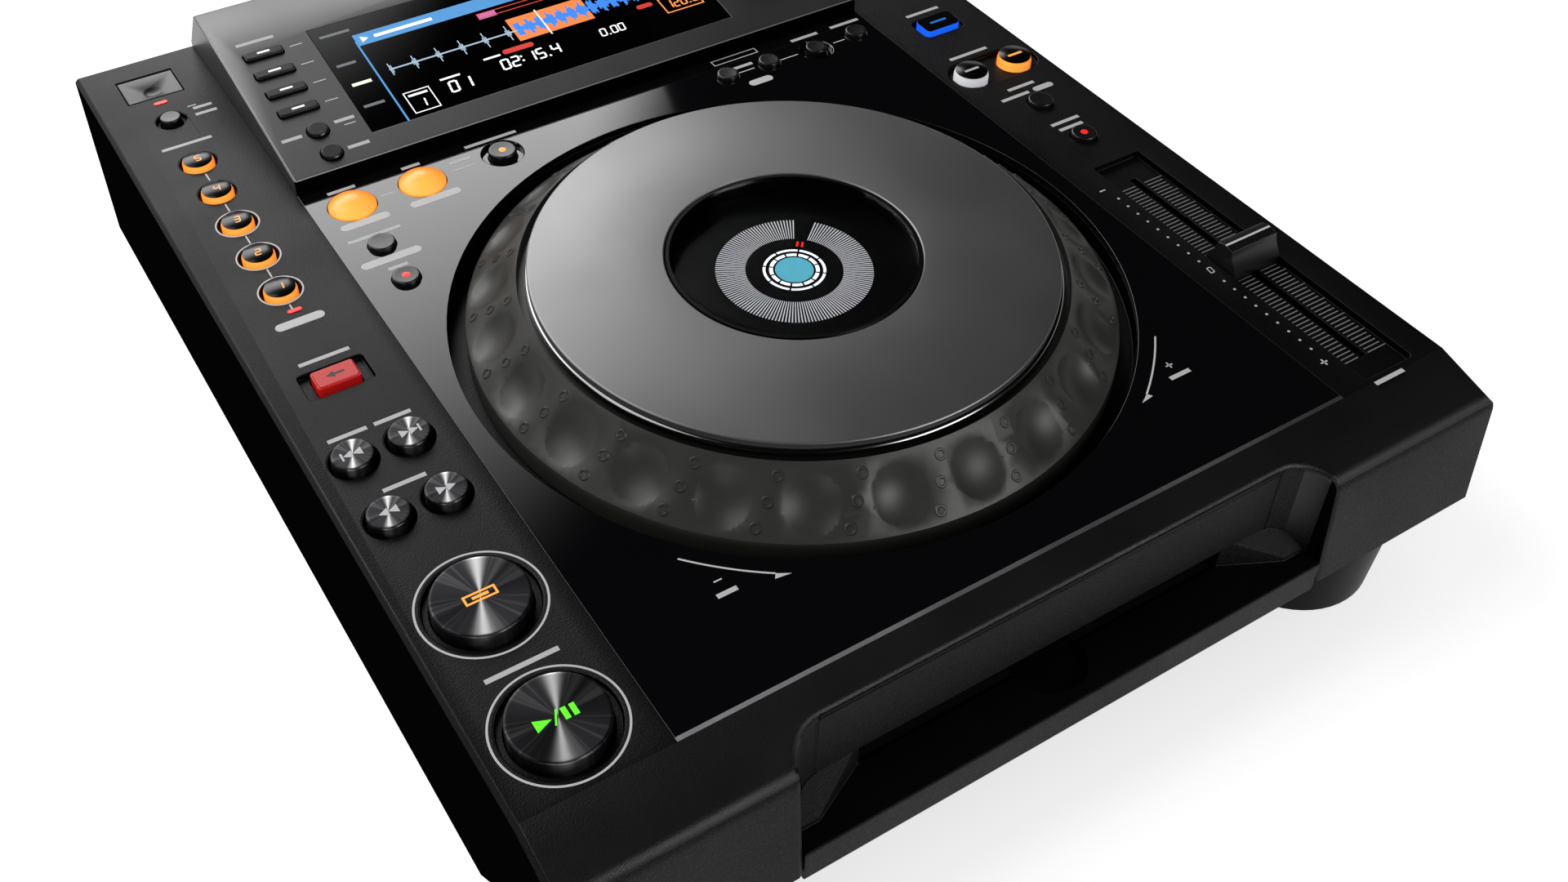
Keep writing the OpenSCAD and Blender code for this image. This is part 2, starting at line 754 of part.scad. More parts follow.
// The raised block at the back: a hollow wedge with the window opening and the key holes.
module display_housing() {
  slope = tan(hump_tilt);
  top_y = hump_y + hump_top_l;
  top_z = deck_h + hump_h2;
  in_y = hump_y + hump_wall;
  in_top_y = top_y - hump_wall;
  in_drop = hump_wall / cos(hump_tilt);
  function roof_at(y) = deck_h + hump_h1 + (y - hump_y) * slope;
  lip = 2.5;
  color(satin) difference() {
    along_x(plate_w) polygon([[hump_y, plate_z], [hump_y, deck_h + hump_h1 - 0.8],
      [hump_y + 0.8, roof_at(hump_y + 0.8)], [top_y, top_z], [top_y + 1.5, top_z - 0.5],
      [back_y, deck_h + 2], [back_y, plate_z]]);
    along_x(plate_w - 2 * hump_wall) polygon([[in_y, plate_z - 1], [in_y, roof_at(in_y) - in_drop],
      [in_top_y, roof_at(in_top_y) - in_drop], [back_y - 2 * hump_wall, plate_z - 1]]);
    on_hump(window_x, window_s + window_l / 2) {
      block(window_w, window_l, -window_t, 1);
      block(window_w - 2 * lip, window_l - 2 * lip, -hump_wall - 1, 0);
    }
    for (i = [0:3]) on_side_key(i) oblong_hole(tab_w, tab_d, 0.8, hump_wall);
    on_hump(small_key_x, time_s) round_hole(hump_key_d, hump_wall);
    on_hump(small_key_x, quantize_s) round_hole(hump_key_d, hump_wall);
    on_hump(selector[0], selector[1]) disc(2 * (selector_shaft_r + shaft_gap), -hump_wall - 1, 1);
  }
}

module on_side_key(i) {
  on_hump(side_key_x, side_key_s + i * side_key_pitch) children();
}

module display_window() {
  color(gloss) on_hump(window_x, window_s + window_l / 2)
    block(window_w, window_l, -window_t, 0);
}

module feet() {
  color(matte) {
    difference() {
      for (x = [-foot_x, foot_x]) translate([x, front_y + foot_front, 0])
        cylinder(r1 = foot_r, r2 = foot_top_r, h = chin_z + 2, $fn = round_n);
      along_x(body_w) polygon(case_outline);
    }
    for (x = [-foot_x, foot_x]) translate([x, back_y - foot_rear, 0])
      cylinder(r1 = foot_r, r2 = foot_r + 2, h = foot_h, $fn = round_n);
  }
}

// ---- rear ----------------------------------------------------------------------------------

module rear_panel() {
  color(matte) difference() {
    translate([-(body_w / 2 - wall_t), rear_y - rear_t, foot_h + tray_t])
      cube([body_w - 2 * wall_t, rear_t, roof_z - foot_h - tray_t]);
    for (x = phono_x) on_rear(x, socket_z) disc(2 * phono_r, -rear_t - 1, 1);
    on_rear(jack_x, socket_z) disc(2 * jack_r, -rear_t - 1, 1);
    on_rear(net_x, socket_z) block(net[0], net[1], -rear_t - 1, 1);
    on_rear(link_x, socket_z) block(link[0], link[1], -rear_t - 1, 1);
    on_rear(inlet_x, socket_z) block(inlet[0], inlet[1], -rear_t - 1, 1);
    on_rear(switch_x, socket_z) block(switch_frame[0], switch_frame[1], -rear_t - 1, 1);
  }
}

// A box set into the rear panel with a rectangular opening in its face.
module box_socket(size, open, depth) {
  difference() {
    block(size[0], size[1], -socket_depth, 0.6);
    block(open[0], open[1], -depth, 1);
  }
}

module round_socket(r, bore_r, l) {
  difference() {
    disc(2 * r, -socket_depth + 2, l);
    disc(2 * bore_r, l - bore_depth, l + 1);
  }
}

module sockets() {
  color(metal) {
    for (x = phono_x) on_rear(x, socket_z) round_socket(phono_r, phono_bore_r, phono_l);
    on_rear(jack_x, socket_z) round_socket(jack_r, jack_bore_r, jack_l);
    on_rear(net_x, socket_z) box_socket(net, net_open, 12);
    on_rear(link_x, socket_z) box_socket(link, link_open, 12);
    on_rear(inlet_x, socket_z) {
      box_socket(inlet, inlet_open, 13);
      for (p = [[-6, 1.5], [0, -2.5], [6, 1.5]]) translate([p[0], p[1], 0]) block(2, 4, -13 - eps, -1.5);
    }
    on_rear(switch_x, socket_z) difference() {
      box_socket(switch_frame, [rocker[0] + 2 * key_gap, rocker[1] + 4 * key_gap], 12);
      rocker_rod(rocker_pin_r + shaft_gap, switch_frame[0] - 1);
    }
    on_deck([-strip_x, cover_y]) difference() {
      block(port_w + 2 * port_wall, port_l + 2 * port_wall, -port_h, -roof_t);
      block(port_w, port_l, -port_h + port_wall, 1);
      block(port_w - 6, port_l + 2 * port_wall + 1, -port_h - 1, -port_h + port_wall + eps);
    }
    on_deck([-strip_x, cover_y]) block(port_w - 6, port_l - 5.6, -port_h, -roof_t - 2);
  }
}

// A rod along the power switch's pivot, in the rear panel's frame.
module rocker_rod(r, l) {
  translate([-l / 2, 0, -rocker_depth / 2]) rotate([0, 90, 0]) cylinder(r = r, h = l, $fn = round_n);
}

module power_switch() {
  color(matte) on_rear(switch_x, socket_z) translate([0, 0, -rocker_depth / 2]) rotate([rocker_tilt, 0, 0])
    translate([0, 0, rocker_depth / 2]) {
      block(rocker[0], rocker[1], -rocker_depth, 1);
      rocker_rod(rocker_pin_r, rocker[0] + 2);
    }
}

// ---- jog wheel -----------------------------------------------------------------------------

module jog_hub() {
  color(matte) on_deck([0, 0]) {
    disc(2 * post_r, -jog_well_depth, touch_h - centre_t - flange_t + eps);
    disc(2 * centre_r - 1.6, touch_h - centre_t - flange_t, touch_h - centre_t);
  }
}

module jog_display() {
  color(gloss) on_deck([0, 0]) disc(2 * centre_r, touch_h - centre_t, touch_h);
}

module jog_bearing() {
  color(metal) on_deck([0, 0]) rotate_extrude($fn = round_n)
    translate([post_r + shaft_gap, -jog_well_depth]) square([bearing_w - 2 * shaft_gap, bearing_h]);
}

// The dial as a turned section, before the dimples are cut.
module dial_body() {
  in = post_r + bearing_w;
  low = -jog_well_depth + 0.5;
  web = touch_h - centre_t - flange_t - 0.7;
  lid = touch_h - touch_t - touch_travel - 0.1;
  hole = centre_r + 0.5;
  rotate_extrude($fn = round_n)
    polygon([[in, low], [in, web], [hole, web], [hole, lid], [touch_r + 0.6, lid], [touch_r + 0.6, 11],
      [flank_r - 0.3, 11], [flank_r, flank_h], [dial_r - 0.2, -0.5], [dial_r, -1.2], [dial_r, low],
      [dial_r - 3.5, low], [dial_r - 3.5, -3.6], [flank_r, 7.3], [touch_r + 0.6, 7.9], [touch_r - 4, lid - 2.8],
      [hole + 2.5, lid - 2.8], [hole + 2.5, web - 2.5], [in + 3, web - 2.5], [in + 3, low]]);
}

module jog_dial() {
  fall = atan2(flank_h + 0.5, dial_r - 0.2 - flank_r);
  ball_r = (dimple_r * dimple_r + dimple_depth * dimple_depth) / (2 * dimple_depth);
  ring_z = flank_h - (dimple_ring_r - flank_r) * tan(fall);
  lift = ball_r - dimple_depth;
  color(satin) on_deck([0, 0]) difference() {
    dial_body();
    for (i = [0:dimple_n - 1]) rotate([0, 0, 360 * i / dimple_n])
      translate([dimple_ring_r + lift * sin(fall), 0, ring_z + lift * cos(fall)])
        sphere(r = ball_r, $fn = round_n);
  }
}

module touch_plate() {
  in = centre_r + 0.35;
  low = touch_h - touch_t;
  color(satin) on_deck([0, 0]) rotate_extrude($fn = round_n)
    polygon([[in, low], [touch_r, low], [touch_r, touch_h - bevel], [touch_r - bevel, touch_h],
      [in, touch_h]]);
}

// ---- keys and controls -----------------------------------------------------------------------

module play_key() { color(metal) on_deck(play) round_key(play_d, play_h); }
module cue_key() { color(metal) on_deck(cue) round_key(play_d, play_h); }
module search_back_key() { color(metal) on_deck(search_back) round_key(skip_d, skip_h); }
module search_forward_key() { color(metal) on_deck(search_forward) round_key(skip_d, skip_h); }
module track_back_key() { color(metal) on_deck(track_back) round_key(skip_d, skip_h); }
module track_forward_key() { color(metal) on_deck(track_forward) round_key(skip_d, skip_h); }
module reverse_key() { color(red) on_deck(reverse) oblong_key(reverse_w, reverse_d, 1, small_h); }
module beat_key(i) { color(amber) on_deck(beat(i)) round_key(beat_d, beat_h); }
module beat_key_1() { beat_key(0); }
module beat_key_2() { beat_key(1); }
module beat_key_3() { beat_key(2); }
module beat_key_4() { beat_key(3); }
module beat_key_5() { beat_key(4); }
module loop_in_key() { color(amber) on_deck(loop_in) dome_key(dome_d, dome_h); }
module loop_out_key() { color(amber) on_deck(loop_out) dome_key(dome_d, dome_h); }
module reloop_key() { color(matte) on_deck(reloop) round_key(reloop[2], small_h); }
module four_beat_key() { color(matte) on_deck(four_beat) round_key(four_beat[2], small_h); }
module slip_key() { color(matte) on_deck(slip) round_key(slip[2], small_h); }
module call_back_key() { color(matte) on_deck(call_back) round_key(small_d, small_h); }
module call_forward_key() { color(matte) on_deck(call_forward) round_key(small_d, small_h); }
module delete_key() { color(matte) on_deck(delete) round_key(small_d, small_h); }
module memory_key() { color(matte) on_deck(memory) round_key(small_d, small_h); }
module usb_stop_key() { color(matte) on_deck(usb_stop) round_key(usb_stop[2], small_h); }
module jog_mode_key() { color(matte) on_deck(jog_mode) oblong_key(mode_w, mode_d, 1.5, small_h); }
module sync_key() { color(matte) on_deck(sync) round_key(sync_d, sync_h); }
module master_key() { color(matte) on_deck(master) round_key(sync_d, sync_h); }
module tempo_range_key() { color(matte) on_deck(tempo_range) round_key(tempo_range[2], small_h); }
module master_tempo_key() { color(matte) on_deck(master_tempo) round_key(master_tempo[2], small_h); }
module eject_key() { color(matte) on_deck(eject) round_key(eject[2], small_h); }
module side_key(i) { color(matte) on_side_key(i) oblong_key(tab_w, tab_d, 0.8, tab_h, hump_wall); }
module side_key_1() { side_key(0); }
module side_key_2() { side_key(1); }
module side_key_3() { side_key(2); }
module side_key_4() { side_key(3); }
module time_key() { color(matte) on_hump(small_key_x, time_s) round_key(hump_key_d, tab_h, hump_wall); }
module quantize_key() {
  color(matte) on_hump(small_key_x, quantize_s) round_key(hump_key_d, tab_h, hump_wall);
}

module usb_cover() {
  dish_r = 8;
  front = cover_y - cover_l / 2;
  color(matte) {
    difference() {
      on_deck([-strip_x, (front + cover_axis_y) / 2]) block(cover_w, cover_axis_y - front, -cover_t, 0);
      on_deck([-strip_x, front + 3.6]) translate([0, 0, dish_r - 0.8]) sphere(r = dish_r, $fn = round_n);
    }
    on_deck([-strip_x, cover_axis_y]) {
      cover_rod(cover_hinge_r, cover_w);
      cover_rod(cover_pin_r, cover_w + 2 * cover_pin_l);
    }
  }
}

module fader_body() {
  channel_l = fader_slot_l + 4;
  low = -roof_t - fader_body_h;
  color(matte) on_deck([strip_x, fader_middle]) difference() {
    block(fader_body_w, channel_l + 4, low, -roof_t);
    block(fader_slot_w, fader_slot_l, -roof_t - fader_neck - eps, -roof_t + 1);
    block(fader_channel_w, channel_l, -roof_t - fader_neck - fader_channel_h, -roof_t - fader_neck);
  }
}

// Cap, blade through the slot and carriage inside the fader's body.
module tempo_fader() {
  seat = -fader_recess_depth + key_gap;
  carriage_top = -roof_t - fader_neck - key_gap;
  waist = 2.6;
  color(matte) on_deck([strip_x, fader_middle]) {
    along_x(fader_cap_w) polygon([[-fader_cap_l / 2, seat], [-fader_cap_l / 2, 1],
      [-fader_cap_l / 2 + waist, fader_cap_h - 3], [-fader_cap_l / 2 + waist + 0.6, fader_cap_h - 0.6],
      [-0.8, fader_cap_h], [0.8, fader_cap_h], [fader_cap_l / 2 - waist - 0.6, fader_cap_h - 0.6],
      [fader_cap_l / 2 - waist, fader_cap_h - 3], [fader_cap_l / 2, 1], [fader_cap_l / 2, seat]]);
    block(fader_slot_w - 2 * key_gap, fader_blade_l, carriage_top - eps, seat + eps);
    block(fader_channel_w - 2 * key_gap, fader_blade_l + 3, carriage_top - fader_channel_h + 2 * key_gap,
      carriage_top);
  }
}

module selector_knob() {
  shaft_low = -hump_wall - switch_drop + key_gap;
  color(matte) on_hump(selector[0], selector[1]) rotate_extrude($fn = round_n)
    polygon([[0, shaft_low], [selector_shaft_r, shaft_low], [selector_shaft_r, selector_seat],
      [selector_d / 2, selector_seat], [selector_d / 2, selector_h - 1], [selector_d / 2 - 1, selector_h],
      [0, selector_h]]);
}

// ---- inside --------------------------------------------------------------------------------

module strip_board() {
  top = roof_z - switch_drop;
  low = top - board_t;
  right_y = jog_y + fader_middle + fader_slot_l / 2 + 8;
  left_y = jog_y + play[1] - play_d / 2;
  edge = body_w / 2 - wall_t;
  difference() {
    union() {
      translate([-edge, left_y, low]) cube([strip_board_w, strip_board_back - left_y, board_t]);
      translate([edge - strip_board_w, right_y, low]) cube([strip_board_w, strip_board_back - right_y, board_t]);
      translate([-edge, jog_y + slip[1] - 8, low]) cube([2 * edge, hump_y - jog_y - slip[1] + 8, board_t]);
    }
    on_deck([0, 0]) disc(2 * (jog_well_r + well_wall + 0.5), -deck_h, 0);
    for (p = case_posts)
      translate([p[0], p[1], 0]) cylinder(r = case_post_r + key_gap, h = deck_h, $fn = round_n);
  }
}

module hump_board() {
  top = -hump_wall - switch_drop;
  lip = 3;
  w = plate_w - 2 * hump_wall;
  on_hump(0, hump_top_l / 2) block(w, hump_top_l - 14, top - board_t, top);
  on_hump(window_x, window_s + window_l / 2)
    block(window_w - 2 * lip, window_l - 2 * lip, top - eps, -window_t - key_gap);
}

module main_board() {
  translate([0, main_board_y, main_board_z]) {
    block(main_board_w, main_board_d, 0, board_t);
    translate([-30, 10, 0]) block(26, 26, board_t - eps, board_t + 2.2);
    translate([10, 14, 0]) block(14, 20, board_t - eps, board_t + 1.6);
    translate([-70, -20, 0]) block(20, 12, board_t - eps, board_t + 1.6);
    translate([95, 10, 0]) block(34, 30, board_t - eps, board_t + 22);
    for (x = [62, 76]) translate([x, 30, 0]) disc(10, board_t - eps, board_t + 16);
  }
}

module circuit_boards() {
  color(board) {
    strip_board();
    hump_board();
    main_board();
  }
}

// Frame of the disc drive: side rails, motor deck, motor, and the rods the pickup slides on.
module drive_frame() {
  in_w = drive_w - 2 * drive_wall;
  deck_front = roller_y + roller_r + 3;
  deck_low = drive_deck_z - drive_deck_t;
  beam_y = disc_y + motor_r + 1;
  depth = drive_back - drive_front;
  mid_y = (drive_back + drive_front) / 2;
  color(metal) difference() {
    union() {
      for (side = [-1, 1]) {
        translate([side * (drive_w - drive_wall) / 2, mid_y, 0]) block(drive_wall, depth, drive_low, drive_top);
        translate([side * (drive_w - rail_foot_w) / 2, mid_y, 0])
          block(rail_foot_w, depth, drive_low, drive_low + 2);
      }
      translate([0, drive_back - drive_wall / 2, 0]) block(drive_w, drive_wall, drive_low, drive_top);
      translate([0, drive_front + drive_wall / 2, 0]) block(drive_w, drive_wall, drive_low, slot_z - 7);
      translate([0, (deck_front + drive_back) / 2, 0])
        block(in_w + eps, drive_back - deck_front, deck_low, drive_deck_z);
      translate([0, disc_y, 0]) disc(2 * motor_r, deck_low - motor_h, deck_low + eps);
      translate([0, beam_y + 1.5, 0]) block(sled_w, 3, rod_z - 3, deck_low + eps);
      for (x = [-rod_x, rod_x]) translate([x, beam_y + 1, rod_z]) rotate([-90, 0, 0])
        cylinder(r = rod_r, h = drive_back - beam_y - 2, $fn = round_n);
    }
    translate([0, disc_y, 0]) disc(2 * (spindle_r + shaft_gap), deck_low - motor_h + 1, deck_h);
    translate([0, sled_y + sled_travel / 2, 0])
      block(14, sled_l + sled_travel, deck_low - 1, drive_deck_z + 1);
    translate([-drive_w / 2 - 1, roller_y, roller_z]) rotate([0, 90, 0])
      cylinder(r = roller_pin_r + shaft_gap, h = drive_w + 2, $fn = round_n);
  }
}

module turntable() {
  seat = slot_z - disc_t / 2;
  deck_low = drive_deck_z - drive_deck_t;
  color(matte) translate([0, disc_y, 0]) rotate_extrude($fn = round_n)
    polygon([[0, deck_low - motor_h + 1.3], [spindle_r, deck_low - motor_h + 1.3],
      [spindle_r, drive_deck_z + key_gap], [table_r, drive_deck_z + key_gap], [table_r, seat],
      [hub_r, seat], [hub_r, seat + 1.4], [hub_r - 1, seat + 2.4], [0, seat + 2.4]]);
}

module pickup_sled() {
  deck_low = drive_deck_z - drive_deck_t;
  color(metal) difference() {
    translate([0, sled_y, 0]) {
      block(sled_w, sled_l, rod_z - 2.6, deck_low - key_gap);
      disc(9, deck_low - key_gap - eps, drive_deck_z - 0.5);
    }
    for (x = [-rod_x, rod_x]) translate([x, sled_y - sled_l, rod_z]) rotate([-90, 0, 0])
      cylinder(r = rod_r + shaft_gap, h = 2 * sled_l, $fn = round_n);
  }
}

module loading_roller() {
  color(matte) translate([0, roller_y, roller_z]) rotate([0, 90, 0]) {
    cylinder(r = roller_r, h = roller_w, center = true, $fn = round_n);
    cylinder(r = roller_pin_r, h = drive_w, center = true, $fn = round_n);
  }
}

module screws() {
  color(metal) for (p = case_posts) translate([p[0], p[1], foot_h]) {
    disc(2 * screw_r, -eps, screw_l);
    disc(2 * screw_head_r, -screw_head_h, 0);
  }
}

top_case();
base_tray();
deck_plate();
trim_strip();
front_bezel();
display_housing();
display_window();
feet();
rear_panel();
sockets();
jog_hub();
jog_display();
jog_bearing();
jog_dial();
touch_plate();
fader_body();
tempo_fader();
play_key();
cue_key();
search_back_key();
search_forward_key();
track_back_key();
track_forward_key();
reverse_key();
beat_key_1();
beat_key_2();
beat_key_3();
beat_key_4();
beat_key_5();
loop_in_key();
loop_out_key();
reloop_key();
four_beat_key();
slip_key();
call_back_key();
call_forward_key();
delete_key();
memory_key();
usb_stop_key();
usb_cover();
jog_mode_key();
sync_key();
master_key();
tempo_range_key();
master_tempo_key();
eject_key();
side_key_1();
side_key_2();
side_key_3();
side_key_4();
time_key();
quantize_key();
selector_knob();
power_switch();
circuit_boards();
drive_frame();
turntable();
pickup_sled();
loading_roller();
screws();
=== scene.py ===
import json
import math

import bmesh
import bpy
from mathutils import Matrix, Vector


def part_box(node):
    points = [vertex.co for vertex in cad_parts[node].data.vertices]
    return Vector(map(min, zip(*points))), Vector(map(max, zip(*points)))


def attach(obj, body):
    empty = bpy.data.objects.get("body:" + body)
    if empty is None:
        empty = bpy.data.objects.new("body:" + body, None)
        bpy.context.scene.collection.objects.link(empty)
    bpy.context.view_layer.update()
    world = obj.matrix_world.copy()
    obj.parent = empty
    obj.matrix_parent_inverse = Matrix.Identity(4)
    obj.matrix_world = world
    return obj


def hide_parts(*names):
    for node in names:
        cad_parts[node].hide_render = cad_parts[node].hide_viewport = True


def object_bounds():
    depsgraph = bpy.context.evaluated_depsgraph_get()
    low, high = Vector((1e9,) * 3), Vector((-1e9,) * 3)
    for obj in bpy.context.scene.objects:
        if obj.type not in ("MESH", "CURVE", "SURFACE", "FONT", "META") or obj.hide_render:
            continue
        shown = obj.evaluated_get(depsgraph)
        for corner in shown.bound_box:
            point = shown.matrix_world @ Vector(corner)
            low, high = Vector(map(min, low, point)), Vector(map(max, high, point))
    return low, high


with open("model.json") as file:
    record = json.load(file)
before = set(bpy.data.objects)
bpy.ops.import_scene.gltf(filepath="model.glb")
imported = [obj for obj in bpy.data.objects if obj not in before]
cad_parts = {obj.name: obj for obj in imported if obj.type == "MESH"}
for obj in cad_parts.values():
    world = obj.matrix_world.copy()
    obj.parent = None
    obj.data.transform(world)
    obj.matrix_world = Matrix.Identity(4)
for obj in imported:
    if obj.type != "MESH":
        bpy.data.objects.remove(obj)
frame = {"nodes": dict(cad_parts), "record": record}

bl_info = {
    "name": "Tabletop Disc Player",
    "version": (1, 0, 0),
    "blender": (4, 5, 0),
    "location": "3D View > Sidebar > Player",
    "description": "Dresses a tabletop disc player with a large jog wheel and sets up its studio",
    "category": "Object",
}

CAD_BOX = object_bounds()
BODY_OF = {node: body for body, nodes in frame["record"]["behaviour"]["bodies"].items() for node in nodes}
MM = 0.001

# Lines of the frame that the markings and small pieces are placed by, in metres
DECK_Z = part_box("deck_plate")[1].z
JOG_X, JOG_Y = 0.0, (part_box("touch_plate")[0].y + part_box("touch_plate")[1].y) / 2
BLOCK_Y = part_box("display_housing")[0].y
BLOCK_FOOT = 5 * MM
BLOCK_SLOPE = math.atan2(14.5, 90.2)
BLOCK_FRAME = Matrix.Translation((0, BLOCK_Y, DECK_Z + BLOCK_FOOT)) @ Matrix.Rotation(BLOCK_SLOPE, 4, "X")
DECK_FRAME = Matrix.Translation((JOG_X, JOG_Y, DECK_Z))
# Middle line of the side strips' keys, in millimetres to either side
STRIP_X = 131.25
# Bearing of the painted highlight on the spun caps: a bright fan painted into their colour, lined up with
# the light
PAINTED_FAN_TURN = math.radians(70)

# Cards that light the shiny surfaces: how far away they stand, how steeply their tops fade, and for each
# the bearing and rise of its middle in degrees, its width and height in metres, the lean of its sides,
# and where it fades out and is at full strength, as shares of its width and height
CARD_DISTANCE = 8.0
CARD_FALL = 1.2
BACK_CARD = {"bearing": -7.0, "rise": 38.0, "width": 9.0, "height": 5.4, "slant": 0.45,
             "side_fade": (0.55, 0.45), "top_fade": (0.48, -0.05)}
FRONT_CARD = {"bearing": 153.0, "rise": 37.0, "width": 5.0, "height": 3.2, "slant": 0.0,
              "side_fade": (0.5, 0.3), "top_fade": (0.5, 0.2)}
# Places and sizes of the soft lights, in metres
KEY_PLACE, KEY_SIZE = (-0.9, 0.6, 1.5), 1.1
FILL_PLACE, FILL_SIZE = (-1.3, -1.1, 0.45), 0.6

# Camera of the photograph's view: lens in millimetres, shift, place, and its right, up and back directions
CAMERA_LENS = 38.264
CAMERA_SHIFT = (0.03125, -0.0625)
CAMERA_PLACE = (-0.219247, -0.357201, 0.407350)
CAMERA_AXES = ((0.8492296, -0.5279418, 0.0093074),
               (0.3507782, 0.5772500, 0.7373853),
               (-0.3946692, -0.6229446, 0.6754083))


# ---- settings ------------------------------------------------------------------------------------

def colour_setting(name, description, default):
    """A colour that a user can change."""
    return bpy.props.FloatVectorProperty(name=name, description=description, default=default, size=3,
                                         min=0, max=1, subtype="COLOR")


def length_setting(name, description, default):
    """A length, in metres."""
    return bpy.props.FloatProperty(name=name, description=description, default=default, min=0, unit="LENGTH")


def level_setting(name, description, default, unit="NONE"):
    """A brightness, or a power where the unit says so."""
    return bpy.props.FloatProperty(name=name, description=description, default=default, min=0, unit=unit)


class PlayerColours(bpy.types.PropertyGroup):
    """Colours of the player's finishes."""
    case: colour_setting("Case", "Grained black plastic of the body", (0.0016, 0.0016, 0.0018))
    # Partly painted light: a lighter copy of the case's black for the faces that look forward, with speckles
    # of the real grain
    front: colour_setting("Front", "Grained black of the upright front faces", (0.006, 0.006, 0.0063))
    # Painted shade: a copy of the case's black that reflects nothing, for the faces that look sideways or
    # backwards
    side: colour_setting("Sides", "Black of the outer sides", (0.0018, 0.0018, 0.002))
    keys: colour_setting("Keys", "Smooth black plastic of the small keys", (0.008, 0.008, 0.009))
    plate: colour_setting("Deck plate", "Polished black plate round the jog wheel", (0.004, 0.004, 0.005))
    block: colour_setting("Display block", "Satin gunmetal of the display block", (0.07, 0.07, 0.072))
    dial: colour_setting("Dial", "Satin plastic of the jog wheel's dial", (0.045, 0.045, 0.04))
    touch: colour_setting("Touch plate", "Satin metal of the touch plate", (0.175, 0.175, 0.178))
    trim: colour_setting("Trim", "Bright trim line", (0.6, 0.6, 0.62))
    spun: colour_setting("Spun caps", "Dark spun metal of the large keys", (0.02, 0.02, 0.022))
    steel: colour_setting("Steel", "Sheet steel and screws", (0.45, 0.45, 0.46))
    board: colour_setting("Boards", "Circuit boards", (0.02, 0.11, 0.045))
    printed: colour_setting("Print", "White printed marks", (0.85, 0.85, 0.85))
    legend: colour_setting("Legends", "Grey bars that stand in the places of words", (0.8, 0.8, 0.8))
    white: colour_setting("White", "White lit marks", (0.9, 0.92, 0.95))
    amber: colour_setting("Amber", "Lit amber keys and rings", (1.0, 0.40, 0.06))
    red: colour_setting("Red", "Lit red lamps and the reverse key", (0.9, 0.015, 0.012))
    blue: colour_setting("Blue", "Lit blue key", (0.01, 0.14, 0.95))
    green: colour_setting("Green", "Lit green icon", (0.12, 0.9, 0.02))
    teal: colour_setting("Teal", "Middle of the jog wheel's display", (0.08, 0.36, 0.46))


class PlayerSizes(bpy.types.PropertyGroup):
    """Sizes of the details that lie on the frame."""
    print_height: length_setting("Print height", "Height of a printed mark above its surface", 0.04 * MM)
    edge_round: length_setting("Edge rounding", "Rounding of the moulded edges", 0.35 * MM)
    recess_round: length_setting("Recess rounding", "Rounding of the front recess's upper edge", 1.7 * MM)
    legend_depth: length_setting("Legend depth", "Depth of the plain bars in the places of words", 1.5 * MM)
    strobe_outer: length_setting("Strobe outer radius", "Outer radius of the jog wheel's ticks", 23.7 * MM)
    strobe_inner: length_setting("Strobe inner radius", "Inner radius of those ticks", 14.7 * MM)
    strobe_ticks: bpy.props.IntProperty(name="Strobe ticks", description="Ticks in the full ring",
                                        default=150, min=12)


class PlayerStudio(bpy.types.PropertyGroup):
    """Light and floor of the studio."""
    floor: colour_setting("Floor", "Colour of the floor", (0.9, 0.9, 0.9))
    floor_glow: level_setting("Floor glow", "Lift of the floor where it is seen directly", 0.7)
    key_power: level_setting("Key light", "Power of the large soft light", 12, "POWER")
    fill_power: level_setting("Fill light", "Power of the low light in front", 2.6, "POWER")
    card_strength: level_setting("Card strength", "Brightness of the reflected card at the back", 6.3)
    front_strength: level_setting("Front card strength", "Brightness of the card at the front", 10.0)
    world_strength: level_setting("World strength", "Even light from all round", 0.25)
    ceiling: level_setting("Ceiling", "Brightness of the ceiling where shiny surfaces show it", 0.004)


def settings():
    """The scene's colours, sizes and studio settings."""
    scene = bpy.context.scene
    return scene.player_colours, scene.player_sizes, scene.player_studio


# ---- node groups and materials -------------------------------------------------------------------

def shared_group(name, inputs, outputs, fill):
    """A shader node group with inputs and float outputs, filled when a material first asks for it."""
    tree = bpy.data.node_groups.get(name)
    if tree is None:
        tree = bpy.data.node_groups.new(name, "ShaderNodeTree")
        for label, kind, value in inputs:
            socket = tree.interface.new_socket(label, in_out="INPUT", socket_type=kind)
            socket.default_value = value
        for label, kind in outputs:
            tree.interface.new_socket(label, in_out="OUTPUT", socket_type=kind)
        fill(tree, tree.nodes.new("NodeGroupInput"), tree.nodes.new("NodeGroupOutput"))
    return tree


def grain_group():
    """Fine moulded grain: a height for a bump, and a slow mask that varies the gloss."""
    def fill(tree, ins, outs):
        where = tree.nodes.new("ShaderNodeTexCoord")
        for size, detail, output in (("Scale", 2.0, "Height"), ("Patches", 3.0, "Mask")):
            noise = tree.nodes.new("ShaderNodeTexNoise")
            noise.inputs["Detail"].default_value = detail
            tree.links.new(where.outputs["Object"], noise.inputs["Vector"])
            tree.links.new(ins.outputs[size], noise.inputs["Scale"])
            tree.links.new(noise.outputs["Fac"], outs.inputs[output])
    return shared_group("moulded_grain",
                        [("Scale", "NodeSocketFloat", 1800.0), ("Patches", "NodeSocketFloat", 25.0)],
                        [("Height", "NodeSocketFloat"), ("Mask", "NodeSocketFloat")], fill)


def vector_step(tree, operation, first, second=None):
    """A vector maths node fed by a socket and by a socket or a plain vector."""
    step = tree.nodes.new("ShaderNodeVectorMath")
    step.operation = operation
    tree.links.new(first, step.inputs[0])
    if isinstance(second, bpy.types.NodeSocket):
        tree.links.new(second, step.inputs[1])
    elif second is not None:
        step.inputs[1].default_value = second
    return step


